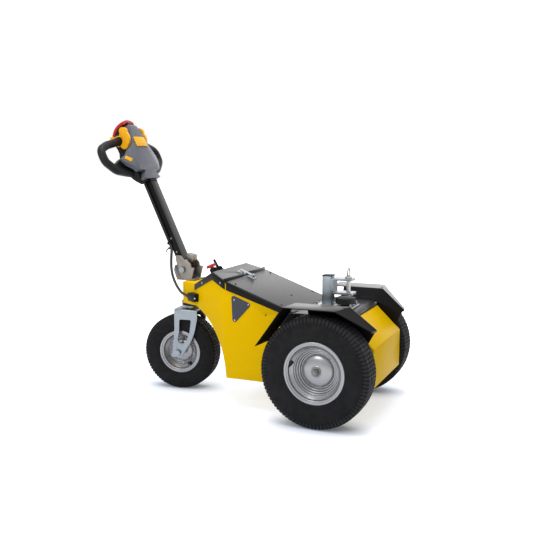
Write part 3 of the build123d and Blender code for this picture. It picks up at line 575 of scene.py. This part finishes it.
def hex_bolt(bm, place, across, height, washer=0.0):
    """A hexagon head on a washer."""
    if washer:
        disc(bm, across * 0.98, 0, washer, place, 28)
    bevelled(bm, edges_of(disc(bm, across * 0.577, washer, washer + height, place, 6)), across * 0.05)


def arc(start, middle, end, count):
    """Points on the arc through three points, without its end."""
    a, b, c = (complex(*point) for point in (start, middle, end))
    shape = (c - a) / (b - a)
    centre = a + (b - a) * (shape - abs(shape) ** 2) / (2j * shape.imag)
    first, mid, last = (cmath.phase(point - centre) for point in (a, b, c))
    sweep = (last - first) % math.tau
    if (mid - first) % math.tau > sweep:
        sweep -= math.tau
    points = [centre + cmath.rect(abs(a - centre), first + sweep * i / count) for i in range(count)]
    return [(point.real, point.imag) for point in points]


def moved(bm, place):
    bmesh.ops.transform(bm, matrix=place, verts=bm.verts[:])


def strip(bm, points, across, width, thick):
    """A bent strap through points, its width along across."""
    across = Vector(across).normalized() * width / 2
    rows = []
    for i, point in enumerate(points):
        ahead = Vector(points[min(i + 1, len(points) - 1)]) - Vector(points[max(i - 1, 0)])
        out = across.cross(ahead).normalized() * thick / 2
        rows.append([bm.verts.new(Vector(point) + a + o) for a, o in
                     ((across, out), (-across, out), (-across, -out), (across, -out))])
    faces = [bm.faces.new((p[i], p[(i + 1) % 4], q[(i + 1) % 4], q[i]))
             for p, q in zip(rows, rows[1:]) for i in range(4)]
    faces += [bm.faces.new(rows[0]), bm.faces.new(rows[-1][::-1])]
    bmesh.ops.recalc_face_normals(bm, faces=faces)


def rivet(bm, point, direction, radius, height):
    """A low domed rivet head."""
    place = facing(point, direction)
    disc(bm, radius, -0.0003, height * 0.5, place, 16, radius * 0.92)
    disc(bm, radius * 0.92, height * 0.5, height, place, 16, radius * 0.5)


def ring_of(count, radius, start=0.0):
    """Count points round a circle, as (x, y)."""
    return [(radius * math.cos(start + math.tau * i / count), radius * math.sin(start + math.tau * i / count))
            for i in range(count)]


# ---- operators ----
class TUG_OT_body(bpy.types.Operator):
    """Powder-coated sheets of the body, with rounded bends, edges and rivets"""
    bl_idname = "tug.body"
    bl_label = "Body sheets"

    def execute(self, context):
        for node in ("side_panel_left", "side_panel_right"):
            soften_node(node, bend=0.007)
        for node in ("rear_panel", "castor_arch", "nose_box", "floor_tray"):
            soften_node(node)
        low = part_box("rear_panel")[0]
        rivets = bmesh.new()
        for y in (-0.152, -0.062, 0.064, 0.154):
            for z in (0.021, 0.071, 0.125):
                rivet(rivets, (low.x, y, low.z + z), (-1, 0, 0), 0.0032, 0.0009)
        show("rear_panel_rivets", rivets, "yellow_paint", "chassis")
        return {"FINISHED"}


class TUG_OT_covers(bpy.types.Operator):
    """Black covers, lid and fenders, with their screws"""
    bl_idname = "tug.covers"
    bl_label = "Covers and fenders"

    def execute(self, context):
        for node in ("front_cover", "battery_lid", "rear_deck", "fender_left", "fender_right"):
            piece = soften_node(node, bend=0.0015)
            if node.startswith("fender"):
                piece.data.materials.append(FINISH["underseal"])
                for face in piece.data.polygons:
                    face.material_index = 1 if face.normal.z < -0.25 else 0
        plain_finish("lid_hinge")
        size = context.scene.tug_sizes.screw
        bright = bmesh.new()
        for x, z in ((0.529, 0.4672), (0.4231, 0.4815)):
            for side in (1, -1):
                place = landed("front_cover", from_axle(x, side * 0.5, z), (0, -side, 0))
                disc(bright, size, -0.0002, 0.0007, place, 20)
                dome_screw(bright, place, size * 0.72, 0.0026)
        for y in (0.185, -0.185):
            dome_screw(bright, landed("rear_deck", from_axle(-0.084, y, 0.9), (0, 0, -1)), size * 0.9, 0.003)
        show("cover_screws", bright, "zinc", "chassis")
        dark = bmesh.new()
        for x, y in ((0.204, 0), (0.178, 0.164), (0.178, -0.164), (0.366, 0.164), (0.366, -0.164)):
            dome_screw(dark, on_lid(x, y), size * 0.8, 0.0022)
        show("lid_screws", dark, "black_plastic", "battery_lid")
        dark = bmesh.new()
        for node in ("fender_left", "fender_right"):
            low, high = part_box(node)
            inner = low.y if low.y > 0 else high.y
            for x in (0.25, 0.75):
                above = (low.x + (high.x - low.x) * x, inner + math.copysign(0.055, inner), 1)
                place = landed(node, above, (0, 0, -1))
                rivet(dark, place.translation, place.col[2].xyz, size, 0.0018)
        show("fender_rivets", dark, "black_paint", "chassis")
        return {"FINISHED"}


class TUG_OT_running_gear(bpy.types.Operator):
    """Axle with its drive unit, battery and the castor's bearing"""
    bl_idname = "tug.running_gear"
    bl_label = "Running gear"

    def execute(self, context):
        soften_node("drive_axle", cut=0.003, bend=0)
        soften_node("battery", cut=0.004, bend=0)
        soften_node("castor_bearing", cut=0.001, bend=0)
        bolts = bmesh.new()
        for side in (1, -1):
            for x, z in ring_of(8, 0.062, 0.2):
                hex_bolt(bolts, facing((AXLE_X + x, side * 0.0615, REAR_AXLE.z + z), (0, side, 0)), 0.008, 0.005,
                         0.001)
        for y, z in ring_of(4, 0.046, math.pi / 4):
            hex_bolt(bolts, facing((AXLE_X + 0.1748, y, REAR_AXLE.z + z), (1, 0, 0)), 0.007, 0.004, 0.001)
        show("drive_unit_bolts", bolts, "zinc", "chassis")
        low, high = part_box("battery")
        middle = (low.x + high.x) / 2
        fittings = bmesh.new()
        for y in (-0.11, 0.11):
            disc(fittings, 0.011, 0, 0.012, at((high.x - 0.035, y, high.z)), 24, 0.009)
        for i in range(5):
            disc(fittings, 0.009, 0, 0.004, at((low.x + 0.04, -0.08 + 0.04 * i, high.z)), 20, 0.008)
        show("battery_posts", fittings, "steel", "chassis")
        handle = bmesh.new()
        arch = ((-0.1, 0.001), (-0.085, 0.004), (-0.05, 0.018), (0, 0.023), (0.05, 0.018), (0.085, 0.004), (0.1, 0.001))
        strip(handle, [(middle, y, high.z + h) for y, h in arch], (1, 0, 0), 0.025, 0.002)
        show("battery_strap", handle, "rubber", "chassis", sharp=60)
        return {"FINISHED"}


# Radii of flange and bead seat, and half the width over the flanges.
DRIVE_SECTION = {"flange": 0.1134, "bead": 0.1016, "half": 0.044}
CASTOR_SECTION = {"flange": 0.0889, "bead": 0.0762, "half": 0.038}


class TUG_OT_wheels(bpy.types.Operator):
    """Treaded tyres, turned rims, valves and hubs"""
    bl_idname = "tug.wheels"
    bl_label = "Wheels"

    def tyre(self, node, place, finish, flange, bead, half, belly, tread, groove, lugs, zigzag, notch):
        """A tyre on the CAD tyre's section, with three grooves round it and notched shoulders."""
        depth = bpy.context.scene.tug_sizes.tread_depth
        low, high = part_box(node)
        radius = (high.z - low.z) / 2
        grooves = (groove, 0.0, -groove)
        section = (radius + flange) / 2
        shoulder = radius - 0.14 * (radius - flange)
        lip = half - 0.0034

        def crown_radius(y):
            return radius - 0.0015 * (y / tread) ** 2

        side = [(bead + 0.0004, lip), (flange + 0.0005, lip)]
        side += arc((flange + 0.0015, half + 0.001), (section - 0.004, belly), (shoulder, belly - 0.005), 12)
        side += arc((shoulder, belly - 0.005), (radius - 0.0035, (belly + tread) / 2 + 0.001),
                    (radius - 0.0015, tread), 4)
        top = [tread]
        for centre in grooves:
            top += [centre + 0.0024, centre + 0.0016, centre - 0.0016, centre - 0.0024]
        top += [-tread]
        floors = {round(c + o, 5) for c in grooves for o in (0.0016, -0.0016)}
        profile = side + [(crown_radius(y) - (depth if round(y, 5) in floors else 0), y) for y in top]
        profile += [(r, -y) for r, y in reversed(side)]
        bm = lathe(profile, steps=lugs * 4)
        pitch = math.tau / lugs
        shares = (0.0, 0.06, 0.22, 0.28)
        for vert in bm.verts:
            r, y = math.hypot(vert.co.x, vert.co.z), vert.co.y
            column = round(math.atan2(vert.co.z, vert.co.x) / (pitch / 4))
            turn = (column // 4 + shares[column % 4]) * pitch
            notched = column % 4 in (1, 2)
            if notched and abs(y) > tread + 0.0005 and r > shoulder - notch:
                share = min(1, (r - shoulder + notch) / 0.004, (abs(y) - tread) / 0.003)
                away = Vector((section - r, -y)).normalized() * depth * 0.8 * share
                r, y = r + away.x, y + away.y
            elif notched and radius - r < 0.001 and min(abs(abs(y) - c) for c in (groove, 0)) < 0.003:
                r -= depth * 0.8
            if abs(y) < groove + 0.003 and r > radius - depth * 1.6:
                y += zigzag * (1 if column % 4 in (0, 1) else -1)
            vert.co = (r * math.cos(turn), y, r * math.sin(turn))
        moved(bm, place)
        show_instead(node, "_treaded", bm, finish, sharp=28)

    def rim(self, node, place, flange, bead, half, hub_r, depth, dome_r, rise, ripple):
        """A rim on the CAD rim's section: barrel, rippled funnel and a domed middle."""
        sheet = 0.003
        seat, well = bead - sheet, bead - 0.016
        foot, lip = half - depth, half - 0.028
        inner = well + 0.0005
        barrel = [(bead, -half + sheet), (flange, -half + sheet), (flange, -half), (seat, -half),
                  (seat, -half + 0.014), (well, -half + 0.022), (well, half - 0.024)]
        barrel += arc((seat - 0.002, half - 0.0155), (seat - 0.0006, half - 0.013), (seat, half - 0.01), 4)
        barrel += arc((seat, half - 0.0065), (seat + 0.001, half - 0.0048), (seat + 0.0025, half - 0.004), 4)
        barrel += [(flange - 0.009, half - 0.004)]
        barrel += arc((flange - 0.0085, half - 0.0015), (flange - 0.0078, half - 0.0004), (flange - 0.0065, half), 4)
        barrel += [(flange - 0.001, half), (flange, half - 0.001), (flange, half - sheet), (bead, half - sheet),
                   (bead, half - 0.013), (well + 0.003, half - 0.022), (well + 0.003, -half + 0.022),
                   (bead, -half + 0.013)]
        upper = []
        for i in range(31):
            t = i / 30
            wave = ripple * (abs(math.sin(3 * math.pi * t)) - 0.4)
            upper.append((inner + (dome_r + 0.003 - inner) * t, lip + (foot - lip) * t + wave))
        upper.append((dome_r, foot - 0.001))
        for i in range(12):
            share = 0.985 - 0.63 * i / 11
            upper.append((dome_r * share, foot + rise * math.sqrt(1 - share ** 2.4)))
        top = foot + rise
        upper += [(dome_r * 0.345, top - 0.0006), (dome_r * 0.335, top), (hub_r, top)]
        disc_line = upper + [(r, y - sheet) for r, y in reversed(upper)]
        bm = lathe(disc_line, 120, lathe(barrel, 120))
        moved(bm, place)
        show_instead(node, "_turned", bm, "rim_paint", sharp=50)

    def valve(self, name, place, base, tip, body):
        """A rubber valve stem with its cap."""
        base, tip = Vector(base), Vector(tip)
        bm = bmesh.new()
        length = (tip - base).length
        stem = place @ facing(base, tip - base)
        disc(bm, 0.0078, -0.004, length * 0.45, stem, 20, 0.005)
        disc(bm, 0.0066, length * 0.4, length * 0.95, stem, 20)
        disc(bm, 0.0066, length * 0.95, length, stem, 20, 0.0044)
        show(name, bm, "rubber", body)

    def execute(self, context):
        sizes = context.scene.tug_sizes
        for side, word in ((1, "left"), (-1, "right")):
            place = at((AXLE_X, side * REAR_AXLE.y, REAR_AXLE.z), 0 if side == 1 else math.pi)
            body = "drive_wheel_" + word
            self.tyre("drive_tyre_" + word, place, "tyre", **DRIVE_SECTION, belly=0.053, tread=0.035, groove=0.0215,
                      lugs=sizes.drive_lugs, zigzag=sizes.zigzag, notch=0.01)
            self.rim("drive_rim_" + word, place, **DRIVE_SECTION, hub_r=0.0126, depth=0.046, dome_r=0.061,
                     rise=0.017, ripple=0.003)
            soften_node("drive_hub_" + word, bend=0, finish="hub_metal")
            self.valve("drive_valve_" + word, place, (0.095, 0.026, 0.022), (0.0815, 0.04, 0.033), body)
            # A dark strip beside the valve and three dark discs on the dome stand in for the rim's slot and holes:
            # painted shade.
            slot = bmesh.new()
            strip(slot, [(0.101 - 0.014 * i / 5, 0.0395 - 0.012 * i / 5, 0.01 + 0.012 * i / 5) for i in range(6)],
                  (0.3, 0.2, 0.9), 0.0045, 0.001)
            for angle in (12, 132, 252):
                turn = at((0, 0, 0), -math.radians(angle), "Y")
                disc(slot, 0.0035, 0, 0.0006, turn @ facing((0.0665, -0.0007, 0), (-0.45, 1, 0)), 16)
            moved(slot, place)
            show("rim_hole_shades_" + word, slot, "painted_hole_shade", body)
            washer = bmesh.new()
            disc(washer, 0.0165, 0, 0.0012, place @ facing((0, 0.015, 0), (0, 1, 0)), 40, 0.0158)
            show("hub_washer_" + word, washer, "hub_metal", body)
        place = at(CASTOR_CENTRE, CASTOR_TURN)
        self.tyre("castor_tyre", place, "castor_tyre", **CASTOR_SECTION, belly=0.046, tread=0.028, groove=0.0165,
                  lugs=sizes.castor_lugs, zigzag=0, notch=0.001)
        self.rim("castor_rim", place, **CASTOR_SECTION, hub_r=0.014, depth=0.03, dome_r=0.047, rise=0.01,
                 ripple=0.0012)
        hub = lathe([(0.0081, -0.049), (0.015, -0.049), (0.015, 0.049), (0.0081, 0.049)], 40)
        bevelled(hub, sharp_edges(hub, 60), 0.0008)
        moved(hub, place)
        show("castor_hub_tube", hub, "dull_zinc", "castor_wheel")
        plain_finish("castor_axle")
        self.valve("castor_valve", place, (-0.04, 0.012, -0.051), (-0.037, 0.032, -0.048), "castor_wheel")
        bolts = bmesh.new()
        for x, z in ring_of(5, 0.054, math.radians(46)):
            hex_bolt(bolts, place @ facing((x, 0.0085, z), (0, 1, 0)), 0.007, 0.0045, 0.001)
        show("castor_rim_bolts", bolts, "zinc", "castor_wheel")
        return {"FINISHED"}


class TUG_OT_castor(bpy.types.Operator):
    """Zinc-plated castor fork with its rivets"""
    bl_idname = "tug.castor"
    bl_label = "Castor fork"

    def execute(self, context):
        soften_node("castor_fork", cut=0.001, bend=0.003)
        place = at(JOINTS["castor_swivel"]["pos_m"], CASTOR_TURN)
        bm = bmesh.new()
        for x, y in ring_of(4, 0.049, math.pi / 4):
            disc(bm, 0.006, 0, 0.0022, place @ at((x * 0.9, y, 0.0001)), 20, 0.0055)
        show("fork_rivets", bm, "zinc", "castor_fork")
        return {"FINISHED"}


class TUG_OT_tiller(bpy.types.Operator):
    """Tiller bracket, arm and head, with their fasteners and grips"""
    bl_idname = "tug.tiller"
    bl_label = "Tiller"

    def execute(self, context):
        soften_node("tiller_bracket", cut=0.0008, bend=0.0015, finish="dull_zinc")
        soften_node("tiller_lock_lever", cut=0.001, bend=0.002, finish="dull_zinc")
        soften_node("tiller_arm", cut=0.001, bend=0.002)
        for node in ("tiller_head_cover", "tiller_head_shell"):
            soften_node(node, cut=0.002, bend=0.003)
        for node in ("belly_button", "throttle_left", "throttle_right", "head_button", "head_switch"):
            soften_node(node, cut=0.0015, bend=0.002)
        plain_finish("cable_clip", "arm_cable", "tiller_pivot_bolt")
        plain_finish("handle_left", "handle_right", finish="grip")
        arm = at(TILLER_PIVOT, TILLER_LEAN, "Y")
        plates = bmesh.new()
        for side in (1, -1):
            block(plates, (-0.011, side * 0.025, 0.062), (0.012, side * 0.0275, 0.146), arm, 0.0008)
        show("arm_foot_plates", plates, "black_plastic", "tiller")
        bolts = bmesh.new()
        for z in (0.077, 0.137):
            for side in (1, -1):
                dome_screw(bolts, arm @ facing((0, side * 0.0275, z), (0, side, 0), 0.3), 0.0038, 0.0022)
        show("arm_foot_bolts", bolts, "dull_zinc", "tiller")
        tie = bmesh.new()
        tail = ((0.0155, 0.039, 0.103), (0.024, 0.0385, 0.1035), (0.034, 0.035, 0.102), (0.045, 0.029, 0.096))
        strip(tie, [arm @ Vector(point) for point in tail], arm.col[2].xyz, 0.0045, 0.0014)
        slab(tie, (0.0165, 0.0375, 0.099), (0.0225, 0.0405, 0.1075), arm)
        show("cable_tie", tie, "rubber", "tiller", sharp=60)
        return {"FINISHED"}


class TUG_OT_hitch(bpy.types.Operator):
    """Zinc-plated post, clevis, drop pin and buffer on a bolted base"""
    bl_idname = "tug.hitch"
    bl_label = "Hitch"

    def execute(self, context):
        for node in ("hitch_post", "post_cap", "hitch_clevis"):
            soften_node(node, cut=0.001, bend=0.004)
        soften_node("hitch_base", cut=0.001, bend=0.004, finish="flat_zinc")
        plain_finish("drop_pin", "hitch_buffer")
        low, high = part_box("hitch_base")
        bolts = bmesh.new()
        for x in (low.x + 0.0105, high.x - 0.0105):
            for y in (-0.036, 0.036):
                place = at((x, y, high.z), 0.3 * y / 0.036)
                hex_bolt(bolts, place, 0.0085, 0.0075, 0.0016)
                disc(bolts, 0.0042, 0.005, 0.0135, place, 20, 0.0038)
        show("hitch_base_bolts", bolts, "zinc", "chassis")
        weld = bmesh.new()
        (x, y), (far_x, far_y) = (corner.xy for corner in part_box("hitch_post"))
        corners = [Vector((*a, high.z)) for a in ((x, y), (far_x, y), (far_x, far_y), (x, far_y))]
        for start, end in zip(corners, corners[1:] + corners[:1]):
            for i in range(13):
                bead = at(start.lerp(end, i / 12)) @ Matrix.Diagonal((1.1, 1.1, 0.9, 1))
                bmesh.ops.create_icosphere(weld, subdivisions=1, radius=0.003, matrix=bead)
        show("post_weld", weld, "dull_zinc", "chassis", sharp=80)
        return {"FINISHED"}


class TUG_OT_fittings(bpy.types.Operator):
    """Switches, latch, plates and cable box"""
    bl_idname = "tug.fittings"
    bl_label = "Fittings"

    def latch(self):
        """Toggle latch: plate, lever with a padlock eye, and the catch on the cover."""
        place = on_lid(LATCH_X, 0)
        upwards = place.col[2].xyz
        bm = bmesh.new()
        block(bm, (-0.04, -0.014, 0), (-0.009, 0.014, 0.0018), place, 0.0006, 1)
        for side in (1, -1):
            block(bm, (-0.031, side * 0.009, 0.0015), (-0.01, side * 0.0074, 0.0098), place, 0.0005, 1)
            rivet(bm, place @ Vector((-0.0355, side * 0.0085, 0.0016)), upwards, 0.0032, 0.0018)
        for low, high in (((-0.03, -0.0095, 0.0086), (0.033, 0.0095, 0.0106)),
                          ((-0.018, -0.0028, 0.01), (0.024, 0.0028, 0.0117)),
                          ((0.0305, -0.0088, 0.0084), (0.0335, 0.0088, 0.0118))):
            block(bm, low, high, place, 0.0007)
        show("lid_latch_lever", bm, "flat_zinc", "battery_lid", ("lid_latch",))
        eye = lathe([(0.006 + 0.0026 * x, 0.0014 * y) for x, y in ring_of(10, 1)], 28)
        moved(eye, place @ at((-0.0285, 0.003, 0.0078)))
        show("latch_eye", eye, "steel", "battery_lid", sharp=60)
        catch = bmesh.new()
        block(catch, (0.009, -0.014, 0), (0.0398, 0.014, 0.0018), place, 0.0006, 1)
        block(catch, (0.018, -0.0075, 0.0015), (0.027, 0.0075, 0.0068), place, 0.0016)
        for side in (1, -1):
            rivet(catch, place @ Vector((0.034, side * 0.0085, 0.0016)), upwards, 0.0032, 0.0018)
        show("latch_hook", catch, "flat_zinc", "chassis", ("latch_catch",))

    def switch_bases(self):
        """Ribbed collars and nuts round the two switches."""
        for name, node, y in (("isolator", "isolator_switch", 0.032), ("key_switch", "key_switch", -0.014)):
            low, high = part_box(node)
            foot = ((low.x + high.x) / 2, y, (low.z + high.z) / 2)
            place = at(foot, COVER_SLOPE, "Y") @ at((0, 0, -0.0115))
            ribs = bmesh.new()
            for i in range(24):
                turn = place @ at((0, 0, 0), math.tau * i / 24)
                slab(ribs, (0.0135, -0.0009, 0.012), (0.0152, 0.0009, 0.0225), turn)
            show(name + "_ribs", ribs, "black_plastic", "chassis")
            nut = bmesh.new()
            bevelled(nut, edges_of(disc(nut, 0.0182, 0.0095, 0.012, place, 6)), 0.0006)
            show(name + "_nut", nut, "black_plastic", "chassis")

    def execute(self, context):
        for node in ("isolator_switch", "isolator_key", "key_switch", "cable_box"):
            soften_node(node, cut=0.0008, bend=0)
        soften_node("key", cut=0.0005, bend=0, finish="black_plastic")
        soften_node("side_plate", cut=0.0004, bend=0, finish="plate_grey")
        self.latch()
        self.switch_bases()
        size = context.scene.tug_sizes.screw
        bm = bmesh.new()
        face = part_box("side_plate")[1].y
        for x, z in ((0.3605, 0.4215), (0.3015, 0.4075), (0.3585, 0.3435)):
            dome_screw(bm, facing(from_axle(x, face, z), (0, 1, 0)), size * 0.75, 0.0022)
        low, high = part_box("cable_box")
        dome_screw(bm, facing((low.x + 0.0085, high.y - 0.0008, (low.z + high.z) / 2 - 0.001), (0.19, 1, 0)),
                   size * 0.8, 0.002)
        show("plate_screws", bm, "steel", "chassis")
        return {"FINISHED"}


class TUG_OT_cable(bpy.types.Operator):
    """The free cable from its box to the tiller"""
    bl_idname = "tug.cable"
    bl_label = "Tiller cable"

    def execute(self, context):
        route = [from_axle(x / 1000, y / 1000, z / 1000) for x, y, z in (
            (610.2, 100.9, 406.2), (641, 86.2, 408.4), (662, 77.5, 421), (685, 68.5, 445), (704, 59, 474),
            (715, 50, 503), (720, 42, 531), (722, 36, 559), (722, 31, 583.5), (730.4, 31, 601.5))]
        curve = bpy.data.curves.new("tiller_cable_lead", "CURVE")
        curve.dimensions = "3D"
        spline = curve.splines.new("NURBS")
        spline.points.add(len(route) - 1)
        for point, place in zip(spline.points, route):
            point.co = (*place, 1)
        spline.order_u = 3
        spline.use_endpoint_u = True
        spline.resolution_u = 12
        drawn = bpy.data.objects.new("tiller_cable_line", curve)
        line = bpy.data.meshes.new_from_object(drawn)
        curve.bevel_depth = 0.0055
        curve.bevel_resolution = 6
        curve.use_fill_caps = True
        curve.materials.append(FINISH["sleeve"])
        mesh = bpy.data.meshes.new_from_object(drawn)
        lead = placed("tiller_cable_lead", mesh)
        for face in mesh.polygons:
            face.use_smooth = True
        bpy.data.objects.remove(drawn)
        bpy.data.curves.remove(curve)
        bpy.data.meshes.remove(line)
        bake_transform(lead)
        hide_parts("tiller_cable")
        return {"FINISHED"}


# ---- stage ----
class TUG_OT_stage(bpy.types.Operator):
    """Camera, floor, surroundings and soft lights"""
    bl_idname = "tug.stage"
    bl_label = "Studio stage"

    def execute(self, context):
        stage = context.scene.tug_stage
        optics = bpy.data.cameras.new("camera")
        camera = placed("camera", optics)
        optics.sensor_width = 36
        optics.lens = stage.lens
        optics.clip_end = 200
        camera.location = from_axle(-0.88809, 2.7056, 0.93004)
        camera.rotation_euler = Vector((0.39054507, -0.90894483, -0.1459241)).to_track_quat("-Z", "Y").to_euler()
        context.scene.camera = camera

        ground = bmesh.new()
        bmesh.ops.create_grid(ground, x_segments=1, y_segments=1, size=40,
                              matrix=at((0, 0, CAD_BOX[0][2] - 0.0005)))
        FINISH["floor"] = self.floor_finish()
        show("studio_floor", ground, "floor", None, stage=True)

        for name, place, target, size, power in (
                ("key_light", (0.5, 2.9, 2.1), (-0.1, 0.0, 0.3), (1.2, 1.2), stage.key_power),
                ("top_light", (0.1, 0.1, 3.2), (0.0, 0.0, 0.0), (2.6, 2.2), stage.top_power),
                ("back_light", (0.1, -3.4, 1.5), (0.0, 0.0, 0.6), (3.6, 2.4), stage.back_power)):
            light = bpy.data.lights.new(name, "AREA")
            light.shape = "RECTANGLE"
            light.size, light.size_y = size
            light.energy = power
            lamp = placed(name, light)
            lamp.location = place
            lamp.visible_camera = False
            lamp.rotation_euler = (Vector(target) - Vector(place)).to_track_quat("-Z", "Y").to_euler()
        self.surroundings(context.scene, stage.ambient)
        context.scene.view_settings.view_transform = "Standard"
        return {"FINISHED"}

    def floor_finish(self):
        """Pale floor that keeps its shadow and shows white where it is open; near the machine it is painted darker and
        bluer, and its glow is dimmed by ambient occlusion, a painted contact shadow.
        """
        made, shader, place = blank_material("pale_floor")
        # Near the machine the floor's colour is darker and bluer: painted shade, and a painted offset of the yellow
        # light the body bounces onto the floor.
        painted_bounce_offset, open_tone = (0.66, 0.74, 0.89), (0.8, 0.81, 0.82)
        feed(shader, "Roughness", 0.9)
        feed(shader, "Specular IOR Level", 0.1)
        uneven = worked("ADD", noise(place, 0.7, 2), -0.5)
        away = worked("MULTIPLY_ADD", uneven, 0.1, distance(place, (1.0, 1.25, 1.0)))
        feed(shader, "Base Color", blended(between(away, 0, 1, 0.55, 1.1), painted_bounce_offset, open_tone))
        # Ambient occlusion dims the floor's glow where the machine is close: a painted contact shadow.
        contact_shadow_ao = beside(place, "ShaderNodeAmbientOcclusion")
        contact_shadow_ao.samples = 8
        feed(contact_shadow_ao, "Distance", 0.09)
        shade = between(contact_shadow_ao.outputs["AO"], 0.15, 1.0, 0.35, 0.95)
        glow = worked("MULTIPLY", between(away, 0.6, 1.0, 0.55, 1.25), shade)
        feed(shader, "Emission Color", (1, 1, 1, 1))
        feed(shader, "Emission Strength", worked("MULTIPLY", seen_directly(made.node_tree), glow))
        return made

    def surroundings(self, scene, ambient):
        """White where the camera, gloss or glass sees it, a soft ambient light elsewhere."""
        world = bpy.data.worlds.new("surroundings")
        scene.world = world
        world.use_nodes = True
        tree = world.node_tree
        tree.nodes.clear()
        output = tree.nodes.new("ShaderNodeOutputWorld")
        mix = tree.nodes.new("ShaderNodeMixShader")
        feed(mix, 0, seen_directly(tree))
        for index, strength in ((1, ambient), (2, 1.0)):
            light = tree.nodes.new("ShaderNodeBackground")
            feed(light, "Color", (1, 1, 1, 1))
            feed(light, "Strength", strength)
            feed(mix, index, light.outputs[0])
        feed(output, "Surface", mix.outputs[0])


# ---- panel, registration ----
PIECES = (TUG_OT_stage, TUG_OT_cable, TUG_OT_body, TUG_OT_covers, TUG_OT_running_gear, TUG_OT_wheels,
          TUG_OT_castor, TUG_OT_tiller, TUG_OT_hitch, TUG_OT_fittings)


class TUG_PT_dressing(bpy.types.Panel):
    """Lists the tug's settings and pieces"""
    bl_label = "Battery tug"
    bl_idname = "TUG_PT_dressing"
    bl_space_type = "VIEW_3D"
    bl_region_type = "UI"
    bl_category = "Tug"

    def draw(self, context):
        for group in (context.scene.tug_finishes, context.scene.tug_sizes, context.scene.tug_stage):
            box = self.layout.box()
            for prop in group.bl_rna.properties:
                if prop.identifier not in ("rna_type", "name"):
                    box.prop(group, prop.identifier)
        for piece in PIECES:
            self.layout.operator(piece.bl_idname)


CLASSES = (TugFinishes, TugSizes, TugStage) + PIECES + (TUG_PT_dressing,)


def register():
    for cls in CLASSES:
        bpy.utils.register_class(cls)
    bpy.types.Scene.tug_finishes = bpy.props.PointerProperty(type=TugFinishes)
    bpy.types.Scene.tug_sizes = bpy.props.PointerProperty(type=TugSizes)
    bpy.types.Scene.tug_stage = bpy.props.PointerProperty(type=TugStage)


def unregister():
    del bpy.types.Scene.tug_finishes, bpy.types.Scene.tug_sizes, bpy.types.Scene.tug_stage
    for cls in reversed(CLASSES):
        bpy.utils.unregister_class(cls)


def main():
    """Builds every piece."""
    register()
    FINISH.update(make_finishes())
    for piece in PIECES:
        group, call = piece.bl_idname.split(".")
        getattr(getattr(bpy.ops, group), call)()


if __name__ == "__main__":
    main()
